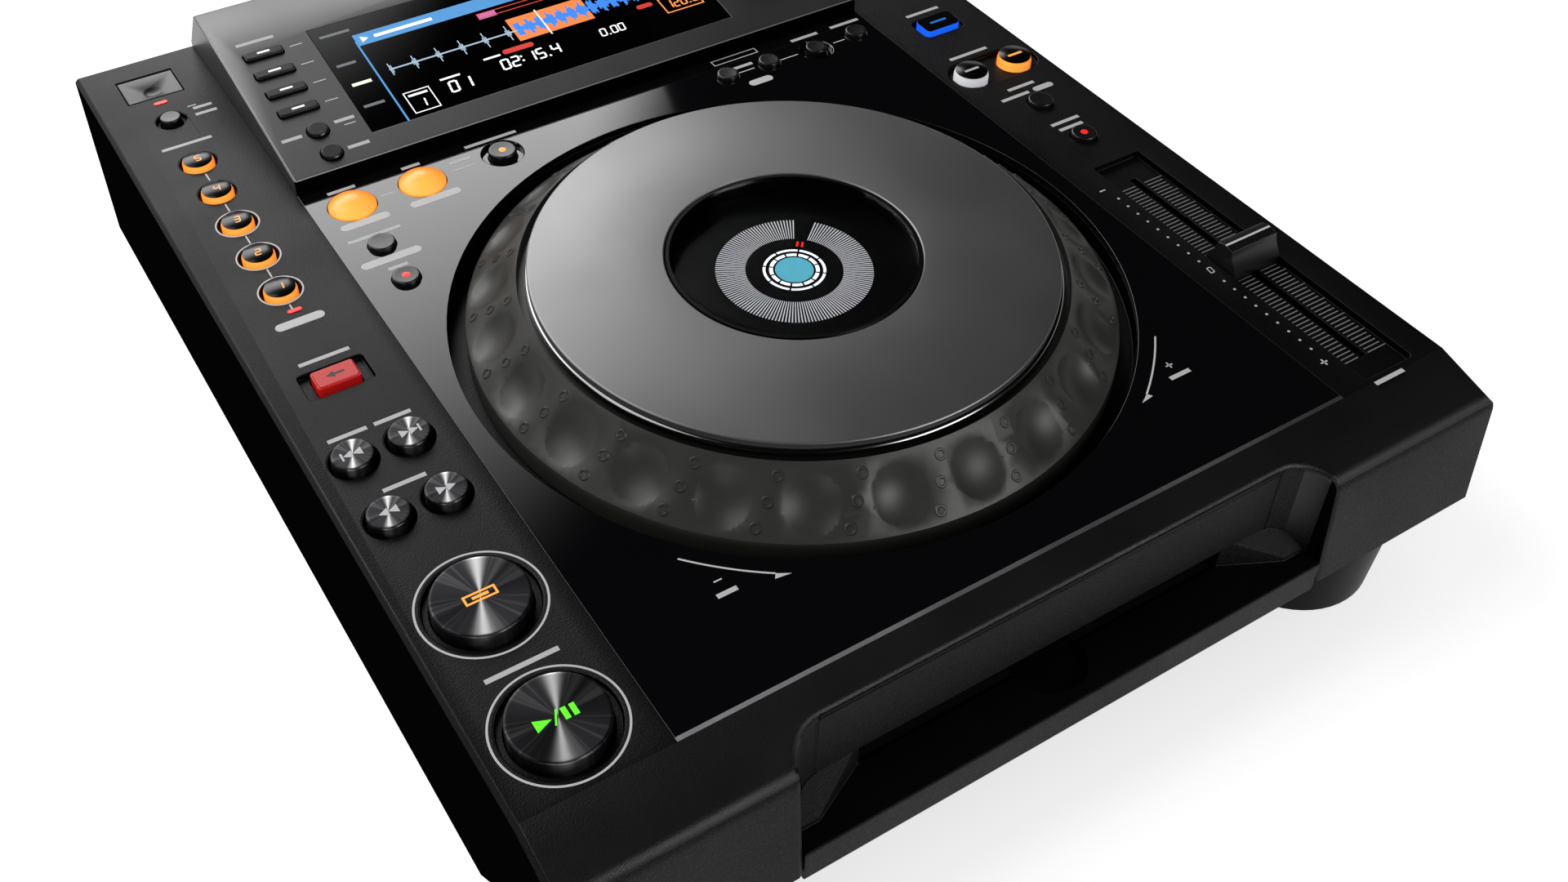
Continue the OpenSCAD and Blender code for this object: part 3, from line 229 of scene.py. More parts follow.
def plain_step(tree, operation, first, second=None):
    """A maths node fed by a socket and by a plain number."""
    step = tree.nodes.new("ShaderNodeMath")
    step.operation = operation
    tree.links.new(first, step.inputs[0])
    if second is not None:
        step.inputs[1].default_value = second
    return step.outputs[0]


def spun_group():
    """Rings round a centre, as a lathe leaves them: height and direction across them; and painted highlight
    fans, where the colour is lighter at a set bearing and in faint streaks.
    """
    def fill(tree, ins, outs):
        where = tree.nodes.new("ShaderNodeTexCoord")
        offset = vector_step(tree, "SUBTRACT", where.outputs["Object"], ins.outputs["Centre"])
        flat = vector_step(tree, "MULTIPLY", offset.outputs[0], (1, 1, 0))
        radius = vector_step(tree, "LENGTH", flat.outputs[0])
        scaled = tree.nodes.new("ShaderNodeMath")
        scaled.operation = "MULTIPLY"
        noise = tree.nodes.new("ShaderNodeTexNoise")
        noise.noise_dimensions = "1D"
        noise.inputs["Scale"].default_value = 1.0
        noise.inputs["Detail"].default_value = 3.0
        across = vector_step(tree, "NORMALIZE", flat.outputs[0])
        parts = tree.nodes.new("ShaderNodeSeparateXYZ")
        angle = tree.nodes.new("ShaderNodeMath")
        angle.operation = "ARCTAN2"
        painted_streaks = tree.nodes.new("ShaderNodeTexNoise")
        painted_streaks.noise_dimensions = "1D"
        painted_streaks.inputs["Scale"].default_value = 2.2
        painted_streaks.inputs["Detail"].default_value = 4.0
        both = tree.nodes.new("ShaderNodeMath")
        both.operation = "ADD"
        tree.links.new(radius.outputs["Value"], scaled.inputs[0])
        tree.links.new(ins.outputs["Rings"], scaled.inputs[1])
        tree.links.new(scaled.outputs[0], noise.inputs["W"])
        tree.links.new(flat.outputs[0], parts.inputs[0])
        tree.links.new(parts.outputs["Y"], angle.inputs[0])
        tree.links.new(parts.outputs["X"], angle.inputs[1])
        tree.links.new(angle.outputs[0], painted_streaks.inputs["W"])
        # Painted highlight: a narrow bright fan at a set bearing and faint streaks round the centre, for the
        # colour
        main = plain_step(tree, "COSINE", plain_step(tree, "SUBTRACT", angle.outputs[0], PAINTED_FAN_TURN))
        main = plain_step(tree, "POWER", plain_step(tree, "ABSOLUTE", main), 80.0)
        side = plain_step(tree, "MAXIMUM", plain_step(tree, "SUBTRACT", painted_streaks.outputs["Fac"], 0.5), 0.0)
        tree.links.new(main, both.inputs[0])
        tree.links.new(plain_step(tree, "MULTIPLY", side, 0.7), both.inputs[1])
        tree.links.new(noise.outputs["Fac"], outs.inputs["Height"])
        tree.links.new(across.outputs[0], outs.inputs["Across"])
        tree.links.new(both.outputs[0], outs.inputs["Fans"])
    return shared_group("spun_rings",
                        [("Centre", "NodeSocketVector", (0, 0, 0)), ("Rings", "NodeSocketFloat", 4000.0)],
                        [("Height", "NodeSocketFloat"), ("Across", "NodeSocketVector"),
                         ("Fans", "NodeSocketFloat")], fill)


def placed_group(nodes, tree, **values):
    """A group node in a material, with its own values."""
    node = nodes.new("ShaderNodeGroup")
    node.node_tree = tree
    for label, value in values.items():
        node.inputs[label].default_value = value
    return node


def finish(name, colour, roughness, metallic=0.0, specular=0.5, glow=0.0):
    """A material with one Principled shader; returns the material, its nodes, links and shader."""
    material = bpy.data.materials.new(name)
    material.use_nodes = True
    nodes, links = material.node_tree.nodes, material.node_tree.links
    shader = nodes["Principled BSDF"]
    shader.inputs["Base Color"].default_value = (*colour, 1)
    shader.inputs["Roughness"].default_value = roughness
    shader.inputs["Metallic"].default_value = metallic
    shader.inputs["Specular IOR Level"].default_value = specular
    shader.inputs["Emission Color"].default_value = (*colour, 1)
    shader.inputs["Emission Strength"].default_value = glow
    return material, nodes, links, shader


def relief(nodes, links, shader, height_socket, depth):
    """A bump from a height, in metres."""
    bump = nodes.new("ShaderNodeBump")
    bump.inputs["Distance"].default_value = depth
    links.new(height_socket, bump.inputs["Height"])
    links.new(bump.outputs["Normal"], shader.inputs["Normal"])


def grained(name, colour, gloss, scale, depth, metallic=0.0, specular=0.5, tint=1.0):
    """A moulded or satin finish: fine bumps, gloss that varies in patches, and grain of a second tint."""
    material, nodes, links, shader = finish(name, colour, gloss[0], metallic, specular)
    grain = placed_group(nodes, grain_group(), Scale=scale)
    relief(nodes, links, shader, grain.outputs["Height"], depth)
    patches = nodes.new("ShaderNodeMapRange")
    patches.inputs["From Min"].default_value = 0.3
    patches.inputs["From Max"].default_value = 0.7
    patches.inputs["To Min"].default_value = gloss[0]
    patches.inputs["To Max"].default_value = gloss[1]
    links.new(grain.outputs["Mask"], patches.inputs["Value"])
    links.new(patches.outputs["Result"], shader.inputs["Roughness"])
    if tint != 1.0:
        mix = nodes.new("ShaderNodeMix")
        mix.data_type = "RGBA"
        mix.inputs["A"].default_value = (*colour, 1)
        mix.inputs["B"].default_value = (*(c * tint for c in colour), 1)
        specks = nodes.new("ShaderNodeMapRange")
        specks.inputs["From Min"].default_value = 0.46
        specks.inputs["From Max"].default_value = 0.68
        links.new(grain.outputs["Height"], specks.inputs["Value"])
        links.new(specks.outputs["Result"], mix.inputs["Factor"])
        links.new(mix.outputs["Result"], shader.inputs["Base Color"])
    return material


def spun_metal(name, colour, centre, roughness, rings=5200.0, depth=0.00001):
    """Metal with lathe rings round a centre; its highlights fan out across the rings, and painted highlight
    fans lighten its colour.
    """
    material, nodes, links, shader = finish(name, colour, roughness, metallic=1.0)
    spun = placed_group(nodes, spun_group(), Centre=centre, Rings=rings)
    relief(nodes, links, shader, spun.outputs["Height"], depth)
    shader.inputs["Anisotropic"].default_value = 0.85
    links.new(spun.outputs["Across"], shader.inputs["Tangent"])
    # Painted highlight: the colour turns light grey along the painted fans
    painted_fans = nodes.new("ShaderNodeMix")
    painted_fans.data_type = "RGBA"
    painted_fans.inputs["A"].default_value = (*colour, 1)
    painted_fans.inputs["B"].default_value = (0.5, 0.5, 0.5, 1)
    links.new(spun.outputs["Fans"], painted_fans.inputs["Factor"])
    links.new(painted_fans.outputs["Result"], shader.inputs["Base Color"])
    return material


def lit_through(name, colour, edge, strength):
    """A glowing translucent finish that is brighter where it faces the eye than along its outline."""
    material, nodes, links, shader = finish(name, colour, 0.3, specular=0.3, glow=strength)
    facing = nodes.new("ShaderNodeLayerWeight")
    facing.inputs["Blend"].default_value = 0.35
    mix = nodes.new("ShaderNodeMix")
    mix.data_type = "RGBA"
    mix.inputs["A"].default_value = (*colour, 1)
    mix.inputs["B"].default_value = (*edge, 1)
    links.new(facing.outputs["Facing"], mix.inputs["Factor"])
    links.new(mix.outputs["Result"], shader.inputs["Base Color"])
    links.new(mix.outputs["Result"], shader.inputs["Emission Color"])
    return material


def clear_glass(name, colour):
    """Smooth glass that lets light through."""
    material, _, _, shader = finish(name, colour, 0.02)
    shader.inputs["Transmission Weight"].default_value = 1.0
    shader.inputs["IOR"].default_value = 1.3
    return material


# Finishes with moulded grain: colour, gloss range, grain per metre, depth, and what isn't plain plastic
GRAINED = {
    "case": ("case", (0.4, 0.48), 2200, 0.00009, dict(specular=0.15, tint=2.0)),
    "nose": ("case", (0.4, 0.48), 2200, 0.00009, dict(specular=0.3, tint=2.0)),
    # Partly painted light: the case's plastic made lighter for the faces that look forward, with the real
    # grain's speckles
    "front": ("front", (0.5, 0.6), 2200, 0.00012, dict(specular=0.1, tint=5.0)),
    # Painted shade: the case's black with no reflection, for faces that look sideways or backwards, and for
    # the display block's forward faces
    "side_black": ("side", (0.5, 0.6), 1700, 0.0001, dict(specular=0.0, tint=1.5)),
    "smooth_black": ("keys", (0.24, 0.32), 900, 0.00001, dict(specular=0.4)),
    "cover": ((0.006, 0.006, 0.005), (0.3, 0.36), 900, 0.00001, dict(specular=0.3)),
    "block": ("block", (0.34, 0.4), 2600, 0.000012, dict(metallic=0.75)),
    "dial": ("dial", (0.36, 0.44), 2600, 0.00002, dict(specular=0.3)),
    "touch": ("touch", (0.38, 0.44), 3000, 0.000007, dict(metallic=0.8)),
    "trim": ("trim", (0.26, 0.34), 900, 0.000002, dict(metallic=1.0)),
    "rubber": ("case", (0.4, 0.5), 1500, 0.00004, dict(specular=0.08)),
    "steel": ("steel", (0.3, 0.45), 900, 0.00001, dict(metallic=1.0)),
    "board": ("board", (0.35, 0.5), 600, 0.00002, dict()),
}

# Lit finishes: a colour setting or a colour of the screens, and the strength of the glow
LIT = {
    "red_lamp": ("red", 1.0), "red_key": ((0.55, 0.009, 0.008), 0.3),
    "amber_print": ("amber", 0.7), "green": ("green", 0.7),
    "white_lit": ("white", 0.75), "white_ring": ("white", 0.4), "strobe": ((0.42, 0.43, 0.45), 0.9),
    "teal": ("teal", 0.7), "blue_print": ((0.01, 0.13, 0.42), 0.8),
    "pale_lit": ((0.3, 0.4, 0.5), 1.0), "dim_lit": ((0.1, 0.11, 0.12), 1.0),
    "source_lit": ((0.65, 0.85, 0.6), 1.0), "screen_blue": ((0.05, 0.21, 0.46), 1.0),
    "screen_orange": ((0.75, 0.19, 0.04), 0.9), "screen_wave": ((0.03, 0.18, 0.62), 1.0),
    "screen_red": ((0.5, 0.03, 0.02), 0.9), "screen_pink": ((0.5, 0.12, 0.3), 0.8),
    "screen_ember": ((0.8, 0.25, 0.06), 1.0),
}

# Finishes that glow from inside: colour setting, colour along the outline and strength
GLOWING = {
    "amber": ("amber", (0.95, 0.14, 0.005), 0.85),
    "amber_dome": ((1.0, 0.45, 0.07), (1.0, 0.16, 0.005), 0.8),
    "blue": ("blue", (0.005, 0.05, 0.6), 0.9),
}

# Plain finishes: colour, roughness, metallic share and specular level
PLAIN = {
    "gloss_black": ("plate", 0.04, 0.0, 0.5), "screen_glass": ((0.001, 0.001, 0.0012), 0.04, 0.0, 1.0),
    "screen_black": ((0.001, 0.001, 0.0012), 0.3, 0.0, 0.1),
    "cap_black": ((0.0015, 0.0015, 0.0018), 0.2, 0.0, 0.25),
    "polished": ((0.16, 0.16, 0.16), 0.16, 1.0, 0.5), "print": ("printed", 0.5, 0.0, 0.3),
    "legend": ("legend", 0.5, 0.0, 0.2), "scale_print": ((0.3, 0.3, 0.3), 0.5, 0.0, 0.2),
    # The first finish on the next line is the grey of a painted highlight along the display block's edges
    "rim_line": ((0.3, 0.3, 0.31), 0.35, 0.3, 0.6), "dark_print": ((0.02, 0.002, 0.002), 0.4, 0.0, 0.3),
}


def colour_of(value):
    """A colour given as it is or by the name of its setting."""
    return tuple(getattr(settings()[0], value)) if isinstance(value, str) else value


def look(name):
    """The material of a finish, made when a piece first asks for it."""
    label = "player_" + name
    made = bpy.data.materials.get(label)
    if made is not None:
        return made
    if name in GRAINED:
        colour, gloss, scale, depth, differences = GRAINED[name]
        return grained(label, colour_of(colour), gloss, scale, depth, **differences)
    if name in LIT:
        colour, strength = LIT[name]
        return finish(label, colour_of(colour), 0.3, specular=0.3, glow=strength)[0]
    if name in GLOWING:
        colour, edge, strength = GLOWING[name]
        return lit_through(label, colour_of(colour), edge, strength)
    if name in PLAIN:
        colour, roughness, metallic, specular = PLAIN[name]
        return finish(label, colour_of(colour), roughness, metallic, specular)[0]
    return clear_glass(label, (0.95, 0.96, 0.97))


# ---- making and placing pieces -------------------------------------------------------------------

def place(name, bm, material, body, stands_for=(), smooth=35.0, recalc=True):
    """Turns a bmesh into a piece that rides on a body, smooth except at edges sharper than the angle."""
    bmesh.ops.remove_doubles(bm, verts=bm.verts[:], dist=1e-6)
    if recalc:
        bmesh.ops.recalc_face_normals(bm, faces=bm.faces[:])
    for face in bm.faces:
        face.smooth = True
    limit = math.radians(smooth)
    for edge in bm.edges:
        edge.smooth = len(edge.link_faces) == 2 and edge.calc_face_angle(0) < limit
    mesh = bpy.data.meshes.new(name)
    bm.to_mesh(mesh)
    bm.free()
    mesh.materials.append(material)
    piece = bpy.data.objects.new(name, mesh)
    bpy.context.scene.collection.objects.link(piece)
    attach(piece, body)
    if stands_for:
        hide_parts(*stands_for)
    return piece


def dressed(node, material, rounding=0.0, smooth=35.0):
    """A merged, smooth-shaded copy of a CAD node, which it stands for; rounding softens its sharp edges."""
    bm = bmesh.new()
    bm.from_mesh(frame["nodes"][node].data)
    bmesh.ops.remove_doubles(bm, verts=bm.verts[:], dist=1e-6)
    bmesh.ops.dissolve_limit(bm, angle_limit=math.radians(0.3), verts=bm.verts[:], edges=bm.edges[:])
    piece = place(node + "_dressed", bm, material, BODY_OF[node], (node,), smooth,
                  recalc=False)
    if rounding:
        bevel = piece.modifiers.new("rounded_edges", "BEVEL")
        bevel.width = rounding
        bevel.segments = 2
        bevel.limit_method = "ANGLE"
        bevel.angle_limit = math.radians(40)
        bevel.use_clamp_overlap = False
        bevel.harden_normals = True
    return piece


def coat_node(node, material):
    """Gives a CAD node that stays as it is a finish."""
    mesh = frame["nodes"][node].data
    mesh.materials.clear()
    mesh.materials.append(material)


def turned(profile, centre=(0, 0, 0), closed=False, steps=96, frame_matrix=DECK_FRAME):
    """A bmesh of a profile of (radius, height) in millimetres, spun about the Z axis and put at a centre."""
    bm = bmesh.new()
    verts = [bm.verts.new((r * MM, 0, z * MM)) for r, z in profile]
    edges = [bm.edges.new(pair) for pair in zip(verts, verts[1:])]
    if closed:
        edges.append(bm.edges.new((verts[-1], verts[0])))
    bmesh.ops.spin(bm, geom=verts + edges, cent=(0, 0, 0), axis=(0, 0, 1), angle=2 * math.pi, steps=steps,
                   use_merge=True, use_duplicate=False)
    bmesh.ops.remove_doubles(bm, verts=bm.verts[:], dist=1e-7)
    put = frame_matrix @ Matrix.Translation(Vector(centre) * MM)
    bmesh.ops.transform(bm, matrix=put, verts=bm.verts[:])
    return bm


def join(bm, other):
    """Adds another bmesh to the first one."""
    mesh = bpy.data.meshes.new("joined")
    other.to_mesh(mesh)
    other.free()
    bm.from_mesh(mesh)
    bpy.data.meshes.remove(mesh)


def slab(bm, outline, low, high, place_matrix):
    """Adds a flat slab over an outline of (x, y) points, all in millimetres, to a bmesh."""
    verts = [bm.verts.new((x * MM, y * MM, low * MM)) for x, y in outline]
    face = bm.faces.new(verts)
    raised = bmesh.ops.extrude_face_region(bm, geom=[face])["geom"]
    top = [item for item in raised if isinstance(item, bmesh.types.BMVert)]
    bmesh.ops.translate(bm, vec=(0, 0, (high - low) * MM), verts=top)
    bmesh.ops.transform(bm, matrix=place_matrix, verts=verts + top)


def box_outline(x, y, w, d, turn=0.0):
    """Corners of a rectangle about (x, y), turned by an angle in degrees."""
    c, s = math.cos(math.radians(turn)), math.sin(math.radians(turn))
    return [(x + c * u - s * v, y + s * u + c * v)
            for u, v in ((-w / 2, -d / 2), (w / 2, -d / 2), (w / 2, d / 2), (-w / 2, d / 2))]


def rounded_outline(x, y, w, d, r, steps=5):
    """Points of a rectangle with rounded corners about (x, y)."""
    points = []
    for sx, sy, start in ((1, 1, 0), (-1, 1, 90), (-1, -1, 180), (1, -1, 270)):
        for i in range(steps + 1):
            a = math.radians(start + 90 * i / steps)
            points.append((x + sx * (w / 2 - r) + r * math.cos(a), y + sy * (d / 2 - r) + r * math.sin(a)))
    return points


def arc_band(bm, centre, inner, outer, start, end, low, high, place_matrix, steps):
    """Adds a band between two radii and two angles in degrees to a bmesh; a full turn makes a ring."""
    full = abs(end - start) >= 359.99
    corners = [(inner, low), (outer, low), (outer, high), (inner, high)]
    before = set(bm.verts)
    verts = [bm.verts.new((r * MM, 0, z * MM)) for r, z in corners]
    edges = [bm.edges.new((verts[i], verts[(i + 1) % 4])) for i in range(4)]
    geom = verts + edges + ([] if full else [bm.faces.new(verts)])
    bmesh.ops.rotate(bm, cent=(0, 0, 0), matrix=Matrix.Rotation(math.radians(start), 3, "Z"), verts=verts)
    bmesh.ops.spin(bm, geom=geom, cent=(0, 0, 0), axis=(0, 0, 1), angle=math.radians(end - start),
                   steps=steps, use_merge=full, use_duplicate=False)
    new = [v for v in bm.verts if v not in before]
    put = place_matrix @ Matrix.Translation(Vector((*centre, 0)) * MM)
    bmesh.ops.transform(bm, matrix=put, verts=new)


def centre_of(node):
    """Middle of a node's box from the jog's centre, and its top's height above the deck, in millimetres."""
    low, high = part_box(node)
    return ((low.x + high.x) / 2 - JOG_X) / MM, ((low.y + high.y) / 2 - JOG_Y) / MM, (high.z - DECK_Z) / MM


class Sheet:
    """Flat marks in millimetres that share a surface and a finish and become one piece."""

    def __init__(self, frame_matrix, low=0.0, height=None):
        self.bm = bmesh.new()
        self.matrix, self.low = frame_matrix, low
        self.high = low + (height or settings()[1].print_height / MM)

    def shape(self, points):
        """A flat shape over an outline."""
        slab(self.bm, points, self.low, self.high, self.matrix)

    def bar(self, x, y, w, d, turn=0.0):
        """A rectangle about (x, y), turned by an angle in degrees."""
        self.shape(box_outline(x, y, w, d, turn))

    def pill(self, x, y, w, d):
        """A rectangle with fully round ends."""
        self.shape(rounded_outline(x, y, w, d, d / 2 - 0.01))

    def triangle(self, x, y, w, h):
        """A triangle that points right, or left where w is negative."""
        self.shape([(x - w / 2, y - h / 2), (x + w / 2, y), (x - w / 2, y + h / 2)])

    def arc(self, x, y, radius, width, start=0.0, end=360.0, steps=48):
        """A line of the given width along part of a circle."""
        arc_band(self.bm, (x, y), radius - width / 2, radius + width / 2, start, end,
                 self.low, self.high, self.matrix, steps)

    def digits(self, text, x, y, height, width):
        """Seven-segment figures, each leaning a little to the right, from x onwards."""
        for figure in text:
            if figure in ".:":
                dots = (0.0,) if figure == "." else (0.3 * height, 0.7 * height)
                for up in dots:
                    self.bar(x + 0.1 * height, y + up + 0.07 * height, 0.14 * height, 0.14 * height)
                x += 0.35 * height
                continue
            for part in SEGMENTS[figure]:
                u, v, upright = PART_PLACES[part]
                size = (0.13 * height, 0.4 * height) if upright else (0.8 * width, 0.13 * height)
                lean = 0.12 * v * height
                self.bar(x + u * width + lean, y + v * height, *size, turn=-6.0 if upright else 0.0)
            x += 1.35 * width

    def frame(self, x, y, w, d, line):
        """The outline of a rectangle."""
        for sign in (-1, 1):
            self.bar(x, y + sign * (d - line) / 2, w, line)
            self.bar(x + sign * (w - line) / 2, y, line, d - 2 * line)

    def done(self, name, finish_name, body="base", slot="key_black"):
        """Turns the marks into one piece."""
        return place(name, self.bm, look(finish_name), body)


# Parts of a seven-segment figure: across and up as shares of its width and height, and if it is upright
PART_PLACES = {"top": (0.5, 0.93, False), "middle": (0.5, 0.5, False), "bottom": (0.5, 0.07, False),
               "upper_left": (0.04, 0.72, True), "upper_right": (0.96, 0.72, True),
               "lower_left": (0.04, 0.28, True), "lower_right": (0.96, 0.28, True)}
ALL_PARTS = tuple(PART_PLACES)
SEGMENTS = {"0": [p for p in ALL_PARTS if p != "middle"], "1": ["upper_right", "lower_right"],
            "2": ["top", "upper_right", "middle", "lower_left", "bottom"],
            "3": ["top", "upper_right", "middle", "lower_right", "bottom"],
            "4": ["upper_left", "upper_right", "middle", "lower_right"],
            "5": ["top", "upper_left", "middle", "lower_right", "bottom"],
            "8": list(ALL_PARTS)}


# ---- operators: one for each group of pieces -----------------------------------------------------

class PlayerOperator:
    """Shared settings of the operators below."""
    bl_options = {"REGISTER", "UNDO"}


class PLAYER_OT_stage(PlayerOperator, bpy.types.Operator):
    """Builds the floor, the lights, the sky and the camera"""
    bl_idname = "player.stage"
    bl_label = "Stage"

    def execute(self, context):
        studio = settings()[2]
        floor = bmesh.new()
        bmesh.ops.create_grid(floor, x_segments=1, y_segments=1, size=12.0)
        staged("floor", floor, floor_material(studio.floor, studio.floor_glow))
        lit_card("back_card", studio.card_strength, **BACK_CARD)
        lit_card("front_card", studio.front_strength, **FRONT_CARD)
        soft_light("key_light", KEY_PLACE, KEY_SIZE, studio.key_power)
        soft_light("fill_light", FILL_PLACE, FILL_SIZE, studio.fill_power)
        context.scene.world = studio_sky(studio)
        context.scene.camera = photograph_camera()
        context.scene.view_settings.view_transform = "Standard"
        return {"FINISHED"}


def staged(name, bm, material):
    """A piece of the studio, which isn't part of the player."""
    mesh = bpy.data.meshes.new(name)
    bm.to_mesh(mesh)
    bm.free()
    mesh.materials.append(material)
    piece = bpy.data.objects.new(name, mesh)
    bpy.context.scene.collection.objects.link(piece)
    return piece


def photograph_camera():
    """A camera that sees the player from the photograph's view."""
    data = bpy.data.cameras.new("camera")
    data.sensor_width = 36.0
    data.lens = CAMERA_LENS
    data.shift_x, data.shift_y = CAMERA_SHIFT
    data.clip_start, data.clip_end = 0.01, 50
    camera = bpy.data.objects.new("camera", data)
    bpy.context.scene.collection.objects.link(camera)
    camera.matrix_world = Matrix.Translation(CAMERA_PLACE) @ Matrix(CAMERA_AXES).transposed().to_4x4()
    return camera


def seen_directly(nodes, links):
    """1 for rays from the camera and for rays that metal or glass sends on, 0 for diffuse light."""
    path = nodes.new("ShaderNodeLightPath")
    either = nodes.new("ShaderNodeMath")
    either.operation = "MAXIMUM"
    links.new(path.outputs["Is Camera Ray"], either.inputs[0])
    links.new(path.outputs["Is Glossy Ray"], either.inputs[1])
    any_of_three = nodes.new("ShaderNodeMath")
    any_of_three.operation = "MAXIMUM"
    links.new(either.outputs[0], any_of_three.inputs[0])
    links.new(path.outputs["Is Transmission Ray"], any_of_three.inputs[1])
    return any_of_three.outputs[0]


def floor_material(colour, glow):
    """A plain floor that keeps the shadow; where it is seen directly, an even glow lifts it to white."""
    material, nodes, links, shader = finish("floor", colour, 0.9)
    shader.inputs["Specular IOR Level"].default_value = 0.0
    lift = nodes.new("ShaderNodeEmission")
    level = nodes.new("ShaderNodeMath")
    level.operation = "MULTIPLY"
    level.inputs[1].default_value = glow
    links.new(seen_directly(nodes, links), level.inputs[0])
    links.new(level.outputs[0], lift.inputs["Strength"])
    both = nodes.new("ShaderNodeAddShader")
    links.new(shader.outputs[0], both.inputs[0])
    links.new(lift.outputs[0], both.inputs[1])
    links.new(both.outputs[0], nodes["Material Output"].inputs["Surface"])
    return material


def studio_sky(studio):
    """White to the camera, dark over a white horizon to shiny surfaces, and even for diffuse light."""
    world = bpy.data.worlds.new("studio")
    world.use_nodes = True
    nodes, links = world.node_tree.nodes, world.node_tree.links
    even = nodes["Background"]
    even.inputs["Strength"].default_value = studio.world_strength
    seen = nodes.new("ShaderNodeBackground")
    for background in (even, seen):
        background.inputs["Color"].default_value = (1, 1, 1, 1)
    where = nodes.new("ShaderNodeTexCoord")
    parts = nodes.new("ShaderNodeSeparateXYZ")
    height = nodes.new("ShaderNodeMapRange")
    height.interpolation_type = "SMOOTHSTEP"
    height.inputs["From Min"].default_value = 0.03
    height.inputs["From Max"].default_value = 0.2
    height.inputs["To Min"].default_value = 1.0
    height.inputs["To Max"].default_value = studio.ceiling
    path = nodes.new("ShaderNodeLightPath")
    level = nodes.new("ShaderNodeMath")
    level.operation = "MAXIMUM"
    choose = nodes.new("ShaderNodeMixShader")
    links.new(where.outputs["Generated"], parts.inputs[0])
    links.new(parts.outputs["Z"], height.inputs["Value"])
    links.new(height.outputs["Result"], level.inputs[0])
    links.new(path.outputs["Is Camera Ray"], level.inputs[1])
    links.new(level.outputs[0], seen.inputs["Strength"])
    links.new(seen_directly(nodes, links), choose.inputs["Fac"])
    links.new(even.outputs[0], choose.inputs[1])
    links.new(seen.outputs[0], choose.inputs[2])
    links.new(choose.outputs[0], nodes["World Output"].inputs["Surface"])
    return world


def soft_light(name, place_at, size, power):
    """A square soft light that points at the middle of the player."""
    data = bpy.data.lights.new(name, "AREA")
    data.shape = "SQUARE"
    data.size = size
    data.energy = power
    light = bpy.data.objects.new(name, data)
    bpy.context.scene.collection.objects.link(light)
    aim = Vector((0, 0, 0.07)) - Vector(place_at)
    light.matrix_world = Matrix.Translation(place_at) @ aim.to_track_quat("-Z", "Y").to_matrix().to_4x4()


def lit_card(name, strength, bearing, rise, width, height, slant, side_fade, top_fade):
    """A lit card that only shiny surfaces see; it fades out at its slanted sides and its top."""
    azimuth, elevation = math.radians(bearing), math.radians(rise)
    back = Vector((math.sin(azimuth) * math.cos(elevation), math.cos(azimuth) * math.cos(elevation),
                   math.sin(elevation)))
    right = Vector((back.y, -back.x, 0)).normalized()
    up = right.cross(back).normalized()
    bm = bmesh.new()
    bmesh.ops.create_grid(bm, x_segments=1, y_segments=1, size=0.5)
    material = bpy.data.materials.new(name)
    material.use_nodes = True
    tree = material.node_tree
    nodes, links = tree.nodes, tree.links
    nodes.remove(nodes["Principled BSDF"])
    where = nodes.new("ShaderNodeTexCoord")
    parts = nodes.new("ShaderNodeSeparateXYZ")
    links.new(where.outputs["Object"], parts.inputs[0])
    leant = nodes.new("ShaderNodeMath")
    leant.operation = "MULTIPLY_ADD"
    leant.inputs[1].default_value = slant
    links.new(parts.outputs["Y"], leant.inputs[0])
    links.new(parts.outputs["X"], leant.inputs[2])
    across = fade(nodes, *side_fade)
    upwards = fade(nodes, *top_fade)
    links.new(plain_step(tree, "ABSOLUTE", leant.outputs[0]), across.inputs["Value"])
    links.new(parts.outputs["Y"], upwards.inputs["Value"])
    level = nodes.new("ShaderNodeMath")
    level.operation = "MULTIPLY"
    links.new(across.outputs["Result"], level.inputs[0])
    links.new(plain_step(tree, "POWER", upwards.outputs["Result"], CARD_FALL), level.inputs[1])
    glow = nodes.new("ShaderNodeEmission")
    links.new(plain_step(tree, "MULTIPLY", level.outputs[0], strength), glow.inputs["Strength"])
    links.new(glow.outputs[0], nodes["Material Output"].inputs["Surface"])
    card = staged(name, bm, material)
    turn = Matrix((right, up, right.cross(up))).transposed().to_4x4()
    card.matrix_world = (Matrix.Translation(back * CARD_DISTANCE) @ turn
                         @ Matrix.Diagonal((width, height, 1, 1)))
    card.visible_camera = False
    card.visible_shadow = False
    card.visible_diffuse = False


def fade(nodes, start, end):
    """A smooth step from 0 at start to 1 at end."""
    step = nodes.new("ShaderNodeMapRange")
    step.interpolation_type = "SMOOTHSTEP"
    step.inputs["From Min"].default_value = start
    step.inputs["From Max"].default_value = end
    return step


